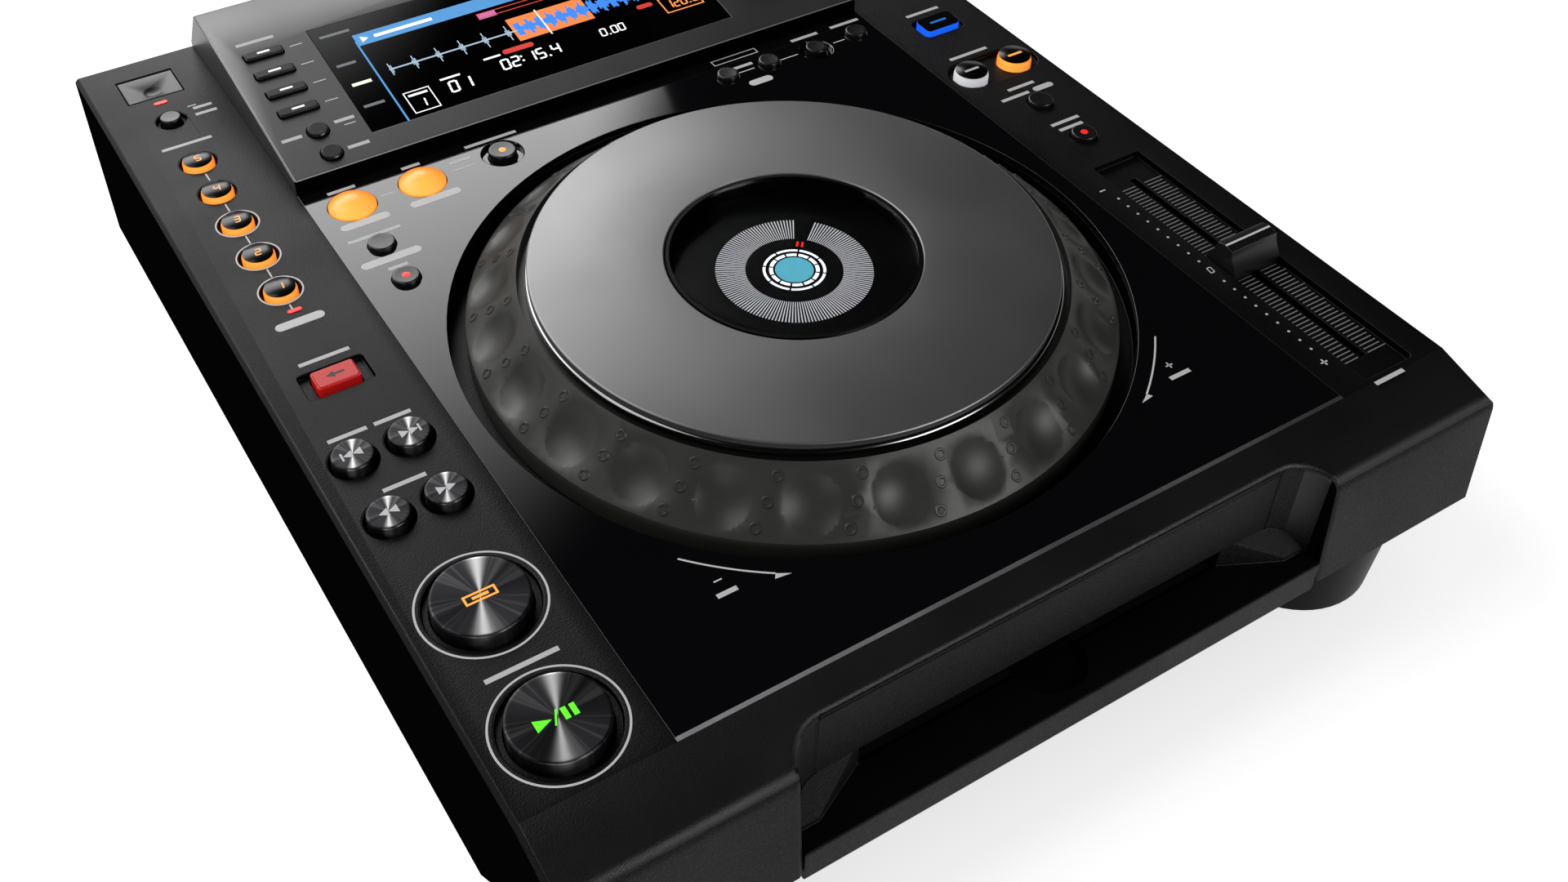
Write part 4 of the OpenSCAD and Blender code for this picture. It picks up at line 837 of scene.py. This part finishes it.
class PLAYER_OT_body(PlayerOperator, bpy.types.Operator):
    """Dresses the case, the slot block, the tray, the feet and the trim line"""
    bl_idname = "player.body"
    bl_label = "Body"

    def execute(self, context):
        sizes = settings()[1]
        case = dressed("top_case", look("case"), sizes.edge_round)
        widen_recess_edge(case, sizes)
        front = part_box("front_bezel")[1].y
        # Painted shade: faces that look sideways or backwards get the copy of the black that reflects
        # nothing
        coat_faces(case, look("side_black"), lambda normal, middle: abs(normal.x) > 0.75 or normal.y > 0.75)
        # Painted light: faces that look forward get the lighter copy of the black
        coat_faces(case, look("front"), lambda normal, middle: normal.y < -0.8 and middle.y < front)
        coat_faces(case, look("nose"), lambda normal, middle: (-0.8 <= normal.y < -0.25
                                                               and middle.y < front + NOSE_DEPTH))
        bezel = dressed("front_bezel", look("case"), sizes.edge_round)
        # Painted light: the bezel's forward faces get the lighter copy of the black
        coat_faces(bezel, look("front"), lambda normal, middle: normal.y < -0.5)
        # Painted shade: the tray gets the copy of the black that reflects nothing
        dressed("base_tray", look("side_black"))
        dressed("feet", look("rubber"), sizes.edge_round)
        dressed("deck_plate", look("gloss_black"), 0.15 * MM)
        dressed("trim_strip", look("trim"))
        coat_node("screws", look("steel"))
        print_left_strip()
        print_plate()
        print_right_strip()
        return {"FINISHED"}


# How far the rounded nose reaches behind the front edge
NOSE_DEPTH = 8 * MM


def coat_faces(piece, material, chosen):
    """Gives the faces that a test picks by their normal and middle a second finish."""
    piece.data.materials.append(material)
    for face in piece.data.polygons:
        if chosen(face.normal, face.center):
            face.material_index = len(piece.data.materials) - 1


def widen_recess_edge(case, sizes):
    """Gives the front recess its wide, light-catching rounding; other edges keep the narrow one."""
    bevel = case.modifiers["rounded_edges"]
    bevel.limit_method = "WEIGHT"
    bevel.width = sizes.recess_round
    block_low, block_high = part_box("front_bezel")
    side = CAD_BOX[1][0] - 0.05 * MM
    mesh = case.data
    bm = bmesh.new()
    bm.from_mesh(mesh)
    weight = bm.edges.layers.float.new("bevel_weight_edge")
    for edge in bm.edges:
        ends = [v.co for v in edge.verts]
        if len(edge.link_faces) != 2 or edge.calc_face_angle(0) < math.radians(40):
            continue
        if any(abs(end.x) > side for end in ends):
            continue
        in_recess = all(abs(end.x) < block_high.x + 1 * MM and end.y < block_low.y + 16 * MM
                        and end.z > block_low.z + 1 * MM for end in ends)
        edge[weight] = 1.0 if in_recess else sizes.edge_round / sizes.recess_round
    bm.to_mesh(mesh)
    bm.free()


def legend(sheet, x, y, w):
    """A plain bar in the place of a printed word."""
    sheet.bar(x, y, w, settings()[1].legend_depth / MM)


# Printed rings round the keys: radius and width of the line
BEAT_RING = (6.75, 0.5)
LARGE_RING = (16.9, 0.6)
# What a dash leaves free of the way from one beat key's middle to the next
DASH_FREE = 14.8
# Scale beside the tempo fader: how many ticks, where it starts, how long it is, how wide a tick is,
# how far out the ticks start, and how long each fifth one and the others are
SCALE_TICKS = 61
SCALE_START, SCALE_LENGTH = -10.5, 97.0
TICK_LINE, TICK_INNER, LONG_TICK, SHORT_TICK = 0.38, 2.0, 7.6, 6.6


def print_left_strip():
    """Rings, dashes, pills and lamps of the left-hand strip."""
    x = -STRIP_X
    print_sheet = Sheet(DECK_FRAME)
    beats = [centre_of(node) for node in BEAT_KEYS]
    for (_, y0, _), (_, y1, _) in zip(beats, beats[1:]):
        print_sheet.bar(x, (y0 + y1) / 2, 0.5, abs(y1 - y0) - DASH_FREE)
    print_sheet.bar(x, beats[0][1] - 8.9, 0.5, 2.6)
    for _, y, _ in beats[:3]:
        print_sheet.arc(x, y, *BEAT_RING)
    for node in LARGE_KEYS:
        print_sheet.arc(x, centre_of(node)[1], *LARGE_RING, steps=96)
    print_sheet.pill(x, 66.3, 15.3, 3.4)
    print_sheet.bar(-122.4, 192.0, 3.0, 0.5)
    print_sheet.done("left_print", "print")
    faint = Sheet(DECK_FRAME)
    for place_y, w in ((170.9, 17.0), (47.8, 15.5), (-10.0, 12.5), (-80.4, 20.0)):
        legend(faint, x + 0.2, place_y, w)
    legend(faint, -137.4, 14.6, 11.5)
    legend(faint, -124.0, 14.6, 11.0)
    for place_y, w in ((190.0, 6.5), (186.0, 7.5)):
        legend(faint, -119.3, place_y, w)
    faint.done("left_legends", "legend")
    lamps = Sheet(DECK_FRAME, height=0.25)
    lamps.pill(-131.1, 199.0, 4.6, 1.5)
    lamps.pill(-130.9, 71.6, 4.4, 1.5)
    lamps.done("left_lamps", "red_lamp", slot="key_red")


def print_plate():
    """Pills, lines, curved arrows and word bars of the glossy plate."""
    white = Sheet(DECK_FRAME)
    for x, y, w in ((-96.2, 100.6, 16.5), (-71.9, 100.6, 17.5), (-96.3, 79.6, 20.0), (54.9, 103.4, 9.5)):
        white.pill(x, y, w, 3.3)
    for x, y, w in ((-84.7, 110.3, 4.6), (-57.2, 110.7, 8.5), (53.9, 111.4, 6.5), (71.7, 110.8, 7.6),
                    (93.2, 110.3, 5.0)):
        white.bar(x, y, w, 0.45)
    white.frame(54.7, 121.0, 18.5, 3.2, 0.4)
    for side in (-1, 1):
        start, end = (221.0, 234.5) if side < 0 else (305.5, 319.0)
        white.arc(0, 0, 108.6, 0.55, start, end, 24)
        turn = math.radians(end if side < 0 else start)
        along = turn + side * -math.pi / 2
        tip = (108.2 * math.cos(turn) + 4.2 * math.cos(along),
               108.2 * math.sin(turn) + 4.2 * math.sin(along))
        foot = [(r * math.cos(turn), r * math.sin(turn)) for r in (108.6, 110.4)]
        white.shape([tip, *foot])
        white.bar(side * 76.9, -82.7, 2.4, 0.45)
    white.bar(76.9, -82.7, 0.45, 2.4)
    white.done("plate_print", "print")
    faint = Sheet(DECK_FRAME)
    for x, y, w in ((-96.6, 120.0, 9.5), (-72.1, 120.4, 6.5), (-56.8, 115.0, 7.5), (-42.9, 120.5, 19.0),
                    (-96.4, 93.0, 17.5), (-96.2, 74.7, 6.5), (53.9, 114.6, 8.5), (83.7, 119.2, 11.5),
                    (101.6, 119.4, 12.5), (-76.8, -87.2, 6.0), (77.0, -87.2, 7.5)):
        legend(faint, x, y, w)
    faint.done("plate_legends", "legend")


def print_right_strip():
    """Rings, ticks, dots and signs of the right-hand strip."""
    x = STRIP_X
    white = Sheet(DECK_FRAME)
    white.bar(115.9, -8.9, 2.4, 0.5)
    white.digits("0", 116.8, -58.6, 2.8, 1.6)
    white.bar(116.6, -105.3, 2.6, 0.5)
    white.bar(116.6, -105.3, 0.5, 2.6)
    for i in range(9):
        for start, end in ((-12.5, -54.5), (-61.0, -101.5)):
            y = start + (end - start) * (i + 0.5) / 9
            white.arc(117.6, y, 0.3, 0.3, steps=10)
    white.done("right_print", "print")
    ticks = Sheet(DECK_FRAME, low=-2.4)
    for i in range(SCALE_TICKS):
        y = SCALE_START - SCALE_LENGTH * i / (SCALE_TICKS - 1)
        reach = SHORT_TICK if i % 5 else LONG_TICK
        for side in (-1, 1):
            ticks.bar(x + side * (TICK_INNER + reach / 2), y, reach, TICK_LINE)
    ticks.done("fader_ticks", "scale_print")
    faint = Sheet(DECK_FRAME)
    for px, py, w in ((131.4, 110.8, 14.5), (128.7, 79.1, 16.5), (131.8, 52.8, 11.5), (126.0, 48.6, 12.0),
                      (131.3, 28.2, 12.0), (131.0, 24.6, 10.0), (128.2, -119.6, 11.5)):
        legend(faint, px, py, w)
    faint.pill(138.4, 48.6, 8.6, 2.6)
    faint.done("right_legends", "legend")


class PLAYER_OT_jog_wheel(PlayerOperator, bpy.types.Operator):
    """Dresses the jog wheel and builds its middle display"""
    bl_idname = "player.jog_wheel"
    bl_label = "Jog wheel"

    def execute(self, context):
        dressed("jog_dial", look("dial"), smooth=30)
        coat_node("jog_bearing", look("steel"))
        coat_node("jog_hub", look("smooth_black"))
        touch = turned([(38.55, 15.3), (79.0, 15.3), (79.0, 16.9), (78.75, 17.2), (78.4, 17.3), (38.9, 17.3),
                        (38.55, 17.0)], closed=True, steps=192)
        place("touch_plate_top", touch, look("touch"), "touch_plate", ("touch_plate",))
        rim = turned([(79.05, 15.0), (79.6, 14.8), (79.9, 14.4), (79.9, 11.2), (79.7, 11.0), (79.05, 11.0)],
                     closed=True, steps=192)
        place("dial_polished_edge", rim, look("polished"), "jog_wheel")
        place("dial_studs", dial_studs(), look("dial"), "jog_wheel")
        glass = turned([(0, 15.9), (37.0, 15.9), (37.0, 17.28), (0, 17.28)], steps=128)
        place("middle_glass", glass, look("glass"), "base", ("jog_display",))
        rim = turned([(37.0, 15.9), (38.2, 15.9), (38.2, 16.95), (37.95, 17.3), (37.0, 17.3)],
                     closed=True, steps=128)
        place("middle_glass_rim", rim, look("screen_black"), "base")
        cup = turned([(38.15, 15.85), (37.4, 15.85), (37.4, STROBE_Z), (0, STROBE_Z), (0, STROBE_Z - 0.1),
                      (38.15, STROBE_Z - 0.1)], steps=96)
        place("middle_cup", cup, look("screen_black"), "base")
        build_strobe(settings()[1])
        return {"FINISHED"}


# Height of the strobe picture above the deck, and how far it lies off the jog's centre
STROBE_Z, STROBE_SHIFT = 10.35, -0.8
# Bearing of the pointer, and how far from it the ticks stop, in degrees
POINTER_TURN, POINTER_GAP = 49.0, 6.8
# Half a tick's width as a share of the step between ticks
TICK_HALF_SHARE = 0.2
# Dial's flank: radius and height of its top edge, and its fall
FLANK_RADIUS, FLANK_HEIGHT, FLANK_FALL = 82.2, 13.9, math.atan2(14.4, 16.1)
# Studs on it: how many slanted rows, and the radius and turn of each stud in a row
STUD_ROWS = 24
STUDS = ((85.2, 1.45), (90.4, 0.0), (95.7, -1.6))


def dial_studs():
    """Slanted rows of small round studs on the dial's flank, one between every two dimples."""
    studs = bmesh.new()
    step = 360 / STUD_ROWS
    for i in range(STUD_ROWS):
        for radius, turn in STUDS:
            height = FLANK_HEIGHT - (radius - FLANK_RADIUS) * math.tan(FLANK_FALL)
            lean = (Matrix.Rotation(math.radians(step / 2 + step * i + turn), 4, "Z")
                    @ Matrix.Translation((radius * MM, 0, height * MM))
                    @ Matrix.Rotation(FLANK_FALL, 4, "Y"))
            join(studs, turned([(0.9, 0.02), (1.15, 0.3), (1.5, 0.3), (1.75, 0.02)], closed=True, steps=18,
                               frame_matrix=DECK_FRAME @ lean))
    return studs


def build_strobe(sizes):
    """The picture under the middle glass: ticks, segmented rings, a red pointer and a plain lit disc."""
    outer, inner = sizes.strobe_outer / MM, sizes.strobe_inner / MM
    ticks = picture_ring()
    step = 360.0 / sizes.strobe_ticks
    half = TICK_HALF_SHARE * step
    for i in range(sizes.strobe_ticks):
        angle = i * step
        if abs(angle - POINTER_TURN) > POINTER_GAP:
            wedge = [(r * math.cos(math.radians(angle + t)), r * math.sin(math.radians(angle + t)))
                     for r, t in ((inner, -half), (outer, -half), (outer, half), (inner, half))]
            ticks.shape(wedge)
    ticks.done("strobe_ticks", "strobe", slot="glass")
    rings = picture_ring()
    for radius, width, parts, share in ((9.1, 0.85, 8, 0.92), (7.0, 1.15, 12, 0.84)):
        for i in range(parts):
            start = POINTER_TURN + 360 * (i + (1 - share) / 2) / parts
            rings.arc(0, 0, radius, width, start, start + 360 * share / parts, 6)
    rings.done("segment_rings", "white_lit", slot="glass")
    pointer = picture_ring()
    for turn in (-3.6, 3.6):
        c, s = (f(math.radians(POINTER_TURN + turn)) for f in (math.cos, math.sin))
        pointer.bar(12.2 * c, 12.2 * s, 2.3, 0.6, POINTER_TURN)
    pointer.done("strobe_pointer", "red_lamp", slot="glass")
    disc = picture_ring()
    disc.arc(0, 0, 2.95, 5.7, steps=64)
    disc.pill(0, 0, 0.6, 0.6)
    disc.done("strobe_disc", "teal", slot="glass")


def picture_ring():
    """A sheet at the height of the strobe picture."""
    return Sheet(DECK_FRAME @ Matrix.Translation((0, STROBE_SHIFT * MM, 0)), STROBE_Z + 0.01)


class PLAYER_OT_display(PlayerOperator, bpy.types.Operator):
    """Dresses the display block and builds the picture under its window"""
    bl_idname = "player.display"
    bl_label = "Display"

    def execute(self, context):
        sizes = settings()[1]
        block = dressed("display_housing", look("block"), sizes.edge_round)
        # Painted shade: the block's forward faces get the black copy that reflects nothing
        coat_faces(block, look("side_black"), lambda normal, middle: normal.y < -0.7)
        glass = bmesh.new()
        slab(glass, box_outline(*WINDOW_PLACE), -1.5, PICTURE_LOW, BLOCK_FRAME)
        place("window_glass", glass, look("screen_glass"), "base", ("display_window",), smooth=20)
        build_picture()
        low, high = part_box("display_housing")
        reach, inset, line = high.x / MM, 0.65, 0.5
        # Painted highlight: light grey lines along the front and the sides of the block's top, where its
        # rounded edges catch the light
        rim = Sheet(BLOCK_FRAME)
        rim.bar(0.0, inset, 2 * (reach - inset), line)
        for x in (-reach + inset, reach - inset):
            rim.bar(x, inset + PAINTED_HIGHLIGHT_LENGTH / 2, line, PAINTED_HIGHLIGHT_LENGTH)
        rim.done("block_rim", "rim_line", slot="display_frame")
        dashes = Sheet(BLOCK_FRAME)
        for i in range(4):
            dashes.bar(-84.0, 31.9 + 10.35 * i, 4.6, 0.45)
        dashes.bar(-83.0, 18.6, 4.0, 0.45)
        dashes.done("block_print", "print", slot="display_frame")
        faint = Sheet(BLOCK_FRAME)
        for x, s, w in ((-96.0, 70.5, 13.5), (-103.0, 19.6, 7.0), (-84.0, 21.2, 7.0), (-84.5, 8.0, 7.5),
                        (93.0, 14.0, 12.0)):
            legend(faint, x, s, w)
        faint.done("block_legends", "legend", slot="display_frame")
        return {"FINISHED"}


# Length of the painted highlight line up the sides of the display block: a light grey strip where its
# rounded edges catch the light
PAINTED_HIGHLIGHT_LENGTH = 88.0
# Middle and size of the window, and the height of the picture's layers below the block's top
WINDOW_PLACE = (-7.8, 39.75, 140.5, 56.5)
PICTURE_LOW = -0.14


def picture_sheet(layer=0):
    """A sheet just above the window's glass; a higher layer lies over a lower one."""
    return Sheet(BLOCK_FRAME, PICTURE_LOW - 0.03 + 0.02 * layer)


def build_picture():
    """A generic playing screen: title bar, wave, digits and a few plain boxes."""
    header = picture_sheet()
    header.bar(-2.0, 56.3, 126.0, 6.2)
    header.bar(-65.0, 33.0, 0.7, 46.0)
    header.done("picture_header", "screen_blue", slot="glass")
    title = picture_sheet(1)
    title.bar(-47.0, 56.2, 22.0, 1.5)
    title.triangle(-61.5, 56.2, 2.6, 3.2)
    title.done("picture_title", "white_lit", slot="glass")
    wave = picture_sheet(1)
    count = 120
    for i in range(count):
        x = -60.0 + 0.6 * i
        pulse = max(0.0, math.cos(2 * math.pi * i / 15.0)) ** 9
        height = 0.7 + 7.5 * pulse * (0.75 + 0.25 * math.sin(1.7 * i))
        if x < -11.0:
            wave.bar(x, 37.6, 0.4, height)
    wave.bar(-36.0, 37.6, 49.0, 0.5)
    wave.done("picture_wave", "pale_lit", slot="glass")
    block = picture_sheet()
    block.bar(2.0, 38.2, 30.0, 12.5)
    block.done("picture_block", "screen_orange", slot="glass")
    dense = picture_sheet(1)
    for i in range(104):
        x = -11.5 + 0.6 * i
        height = 5.0 + 2.8 * math.sin(0.9 * i) + 1.8 * math.sin(2.3 * i + 1.0)
        dense.bar(x, 38.0, 0.62, max(height, 1.2))
    dense.done("picture_dense_wave", "screen_wave", slot="glass")
    cursor = picture_sheet(2)
    cursor.bar(-1.0, 38.0, 0.5, 14.5)
    cursor.digits("0", -46.0, 17.5, 6.0, 3.0)
    cursor.digits("1", -41.0, 17.5, 6.0, 3.0)
    cursor.digits("02:15.4", -25.0, 20.3, 5.6, 2.9)
    cursor.digits("0.00", 14.5, 21.6, 4.2, 2.2)
    cursor.frame(-56.8, 19.0, 9.6, 11.0, 0.4)
    cursor.digits("1", -58.6, 15.4, 4.4, 2.4)
    cursor.bar(-56.8, 22.4, 7.0, 1.0)
    cursor.bar(-43.5, 25.3, 7.5, 0.9)
    cursor.bar(-26.0, 28.4, 6.5, 0.9)
    cursor.done("picture_figures", "white_lit", slot="glass")
    boxes = picture_sheet()
    boxes.pill(-15.5, 29.0, 12.0, 2.4)
    boxes.pill(36.5, 30.4, 6.5, 2.2)
    boxes.frame(-8.0, 50.2, 26.0, 2.8, 0.4)
    boxes.done("picture_red", "screen_red", slot="glass")
    pink = picture_sheet()
    pink.bar(-17.5, 49.9, 7.0, 3.0)
    pink.done("picture_pink", "screen_pink", slot="glass")
    tempo = picture_sheet()
    tempo.frame(50.0, 27.2, 15.5, 8.6, 0.5)
    tempo.digits("120.0", 43.8, 24.9, 4.8, 2.2)
    tempo.done("picture_tempo", "screen_ember", slot="glass")
    sources = picture_sheet()
    for x, s, w in ((-72.0, 24.0, 7.5), (-72.5, 46.5, 7.0), (-70.0, 62.8, 11.0)):
        sources.bar(x, s, w, 1.3)
    sources.done("picture_sources", "dim_lit", slot="glass")
    lit = picture_sheet()
    lit.bar(-71.5, 35.5, 7.0, 1.5)
    lit.done("picture_source_lit", "source_lit", slot="glass")


ROUND_KEYS = ("call_back_key", "call_forward_key", "delete_key", "memory_key", "usb_stop_key",
              "tempo_range_key", "master_tempo_key", "reloop_key", "four_beat_key", "slip_key", "eject_key")
BEAT_KEYS = tuple(f"beat_key_{i}" for i in range(1, 6))
SKIP_KEYS = ("search_back_key", "search_forward_key", "track_back_key", "track_forward_key")
LARGE_KEYS = ("play_key", "cue_key")
SIDE_KEYS = tuple(f"side_key_{i}" for i in range(1, 5))
# Heights of the keys' collars, measured from the deck
COLLAR_LOW, COLLAR_HIGH = -6.8, -5.8
# Radius and top of the keys with a glowing flank
BEAT_RADIUS, BEAT_TOP = 5.2, 1.7
SYNC_RADIUS, SYNC_TOP = 6.2, 2.0


def key_body(node, diameter, height, lip, round_by, dish=0.0):
    """A bmesh of a round key: collar, stem, rounded lip and a top that may be dished, in millimetres."""
    x, y, _ = centre_of(node)
    r = diameter / 2
    profile = [(0, COLLAR_LOW), (r + 1.2, COLLAR_LOW), (r + 1.2, COLLAR_HIGH), (r, COLLAR_HIGH),
               (r, height - round_by)]
    for i in range(1, 5):
        a = math.radians(90 * i / 4)
        profile.append((r - round_by + round_by * math.cos(a), height - round_by + round_by * math.sin(a)))
    profile += [(r - lip, height), (0, height - dish)]
    return turned(profile, (x, y, 0), steps=64)


def key_diameter(node):
    """Width of a key's cap: its node's width without the collar."""
    low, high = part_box(node)
    return (high.x - low.x) / MM - 2.4


def lamp_on(node, finish_name, radius=1.25):
    """A small round lamp in the top of a key."""
    x, y, top = centre_of(node)
    lamp = turned([(0, top - 0.5), (radius, top - 0.5), (radius, top - 0.12), (0, top - 0.02)],
                  (x, y, 0), steps=24)
    place(node + "_lamp", lamp, look(finish_name), BODY_OF[node])


def ringed_key(node, glow_name, radius, top):
    """A round key with a glowing, tapered flank and a black cap."""
    x, y, _ = centre_of(node)
    cap_r = radius - 0.45
    flank = [(0, COLLAR_LOW), (radius + 1.2, COLLAR_LOW), (radius + 1.2, COLLAR_HIGH), (radius, COLLAR_HIGH),
             (radius, 0.2), (radius - 0.12, 0.5), (cap_r + 0.1, top - 0.4), (0, top - 0.4)]
    cap = [(0, top - 0.4), (cap_r, top - 0.4), (cap_r, top - 0.1), (cap_r - 0.15, top), (0, top)]
    place(node + "_flank", turned(flank, (x, y, 0), steps=64), look(glow_name), BODY_OF[node],
          (node,))
    place(node + "_cap", turned(cap, (x, y, 0), steps=64), look("cap_black"), BODY_OF[node])


def icon_sheet(node, top=None):
    """A sheet on the flat top of a key, about the key's own middle."""
    x, y, full = centre_of(node)
    return Sheet(DECK_FRAME @ Matrix.Translation(Vector((x, y, 0)) * MM), full if top is None else top)


class PLAYER_OT_keys(PlayerOperator, bpy.types.Operator):
    """Builds the keys with their caps, rings, lamps and icons"""
    bl_idname = "player.keys"
    bl_label = "Keys"

    def execute(self, context):
        colours, sizes, _ = settings()
        for node in ROUND_KEYS:
            key = key_body(node, key_diameter(node), centre_of(node)[2], 0.9, 0.5, 0.25)
            place(node + "_cap", key, look("smooth_black"), BODY_OF[node], (node,))
        for node, glow in (("slip_key", "red_lamp"), ("master_tempo_key", "red_lamp"),
                           ("reloop_key", "amber")):
            lamp_on(node, glow)
        for number, node in enumerate(BEAT_KEYS, 1):
            ringed_key(node, "amber", BEAT_RADIUS, BEAT_TOP)
            figure = icon_sheet(node, BEAT_TOP)
            figure.digits(str(number), -1.0, -1.6, 3.2, 1.9)
            figure.done(node + "_figure", "amber_print", BODY_OF[node])
        for node, glow, mark in (("sync_key", "white_ring", "legend"),
                                 ("master_key", "amber", "amber_print")):
            ringed_key(node, glow, SYNC_RADIUS, SYNC_TOP)
            bar = icon_sheet(node, SYNC_TOP)
            bar.bar(0, 0, 6.0, 1.1)
            bar.done(node + "_mark", mark, BODY_OF[node])
        for node in LARGE_KEYS + SKIP_KEYS:
            spun_key(node, colours.spun)
        print_icons()
        for node in ("loop_in_key", "loop_out_key"):
            loop_dome(node)
        dressed("reverse_key", look("red_key"), 0.2 * MM)
        mode_key("jog_mode_key")
        for node in SIDE_KEYS + ("time_key", "quantize_key"):
            dressed(node, look("smooth_black"), 0.15 * MM)
        for i, node in enumerate(SIDE_KEYS):
            dash = Sheet(BLOCK_FRAME, 1.2)
            dash.bar(-95.7, 31.9 + 10.35 * i, 4.4, 0.8)
            dash.done(node + "_dash", "white_lit", BODY_OF[node])
        dressed("usb_cover", look("cover"), 0.15 * MM)
        dressed("selector_knob", look("smooth_black"), 0.2 * MM)
        dressed("tempo_fader", look("smooth_black"), 0.2 * MM)
        line = Sheet(DECK_FRAME, 8.0)
        line.bar(STRIP_X, -57.2, 18.6, 0.8)
        line.done("fader_line", "print", "tempo_fader")
        return {"FINISHED"}


def spun_key(node, colour):
    """A key whose cap and collar are both of spun metal."""
    x, y, top = centre_of(node)
    cap = spun_metal(node + "_spun", colour, (JOG_X + x * MM, JOG_Y + y * MM, 0), 0.3)
    place(node + "_cap", key_body(node, key_diameter(node), top, 1.0, 0.6), cap, BODY_OF[node],
          (node,))


def loop_dome(node):
    """A glowing amber dome with a brighter middle."""
    x, y, top = centre_of(node)
    r = key_diameter(node) / 2
    ball = (r * r + (top - 0.4) ** 2) / (2 * (top - 0.4))
    profile = [(0, COLLAR_LOW), (r + 1.2, COLLAR_LOW), (r + 1.2, COLLAR_HIGH), (r, COLLAR_HIGH), (r, 0.4)]
    for i in range(1, 13):
        radius = r * (1 - i / 12)
        profile.append((radius, top - ball + math.sqrt(ball * ball - radius * radius)))
    place(node + "_dome", turned(profile, (x, y, 0), steps=64), look("amber_dome"), BODY_OF[node],
          (node,))


def mode_key(node):
    """A black oblong key with glowing blue sides."""
    x, y, top = centre_of(node)
    low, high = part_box(node)
    w, d = (high.x - low.x) / MM - 2.4, (high.y - low.y) / MM - 2.4
    glow = bmesh.new()
    slab(glow, rounded_outline(x, y, w + 2.4, d + 2.4, 0.3), COLLAR_LOW, COLLAR_HIGH, DECK_FRAME)
    slab(glow, rounded_outline(x, y, w, d, 1.5), COLLAR_HIGH, top - 0.5, DECK_FRAME)
    place(node + "_sides", glow, look("blue"), BODY_OF[node], (node,))
    cap = bmesh.new()
    slab(cap, rounded_outline(x, y, w - 0.3, d - 0.3, 1.4), top - 0.5, top, DECK_FRAME)
    place(node + "_cap", cap, look("cap_black"), BODY_OF[node])
    mark = icon_sheet(node)
    mark.bar(0, 0, 7.0, 1.1)
    mark.done(node + "_mark", "blue_print", BODY_OF[node])


def print_icons():
    """Skip, search, cue and play icons on the spun caps, and a plain arrow on the reverse key."""
    for node, sign, bar in (("track_back_key", -1, True), ("track_forward_key", 1, True),
                            ("search_back_key", -1, False), ("search_forward_key", 1, False)):
        icon = icon_sheet(node)
        for shift in (-1.35, 1.35):
            icon.triangle(shift, 0, sign * 2.7, 3.0)
        if bar:
            icon.bar(sign * 3.0, 0, 0.6, 3.0)
        icon.done(node + "_icon", "print", BODY_OF[node])
    play = icon_sheet("play_key")
    play.triangle(-3.9, 0, 4.4, 3.6)
    play.bar(-0.6, 0, 0.5, 4.6, -25.0)
    for x in (1.9, 4.2):
        play.bar(x, 0, 1.4, 3.6)
    play.done("play_icon", "green", BODY_OF["play_key"])
    cue = icon_sheet("cue_key")
    cue.frame(0, 0, 9.0, 3.2, 0.6)
    cue.bar(0, 0, 4.5, 0.9)
    cue.done("cue_icon", "amber_print", BODY_OF["cue_key"])
    arrow = icon_sheet("reverse_key")
    arrow.triangle(-1.6, 0, -2.6, 2.6)
    arrow.bar(1.2, 0, 3.0, 0.8)
    arrow.done("reverse_icon", "dark_print", BODY_OF["reverse_key"])


class PLAYER_OT_rear(PlayerOperator, bpy.types.Operator):
    """Dresses the rear panel, its sockets and the power switch"""
    bl_idname = "player.rear"
    bl_label = "Rear"

    def execute(self, context):
        dressed("rear_panel", look("case"))
        dressed("sockets", look("smooth_black"), 0.15 * MM)
        dressed("power_switch", look("smooth_black"), 0.2 * MM)
        return {"FINISHED"}


class PLAYER_OT_inside(PlayerOperator, bpy.types.Operator):
    """Gives the boards, the fader body and the disc drive their finishes"""
    bl_idname = "player.inside"
    bl_label = "Inside"

    def execute(self, context):
        for node, name in (("circuit_boards", "board"), ("drive_frame", "steel"),
                           ("fader_body", "smooth_black"), ("turntable", "smooth_black"),
                           ("pickup_sled", "steel"), ("loading_roller", "rubber")):
            coat_node(node, look(name))
        return {"FINISHED"}


# ---- panel and registration ----------------------------------------------------------------------

class PLAYER_PT_panel(bpy.types.Panel):
    """Lists the settings and the pieces of the player"""
    bl_idname = "PLAYER_PT_panel"
    bl_label = "Tabletop Disc Player"
    bl_space_type = "VIEW_3D"
    bl_region_type = "UI"
    bl_category = "Player"

    def draw(self, context):
        layout = self.layout
        for label, group in zip(("Colours", "Sizes", "Studio"), settings()):
            box = layout.box()
            box.label(text=label)
            for name in group.__annotations__:
                box.prop(group, name)
        for operator in PIECES:
            layout.operator(operator.bl_idname)


PIECES = (PLAYER_OT_stage, PLAYER_OT_body, PLAYER_OT_jog_wheel, PLAYER_OT_display, PLAYER_OT_keys,
          PLAYER_OT_rear, PLAYER_OT_inside)
GROUPS = {"player_colours": PlayerColours, "player_sizes": PlayerSizes, "player_studio": PlayerStudio}
CLASSES = (*GROUPS.values(), PLAYER_PT_panel, *PIECES)


def register():
    for cls in CLASSES:
        bpy.utils.register_class(cls)
    for name, group in GROUPS.items():
        setattr(bpy.types.Scene, name, bpy.props.PointerProperty(type=group))


def unregister():
    for name in GROUPS:
        delattr(bpy.types.Scene, name)
    for cls in reversed(CLASSES):
        bpy.utils.unregister_class(cls)


def main():
    register()
    bpy.ops.player.stage()
    bpy.ops.player.body()
    bpy.ops.player.jog_wheel()
    bpy.ops.player.display()
    bpy.ops.player.keys()
    bpy.ops.player.rear()
    bpy.ops.player.inside()
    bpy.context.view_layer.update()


if __name__ == "__main__":
    main()
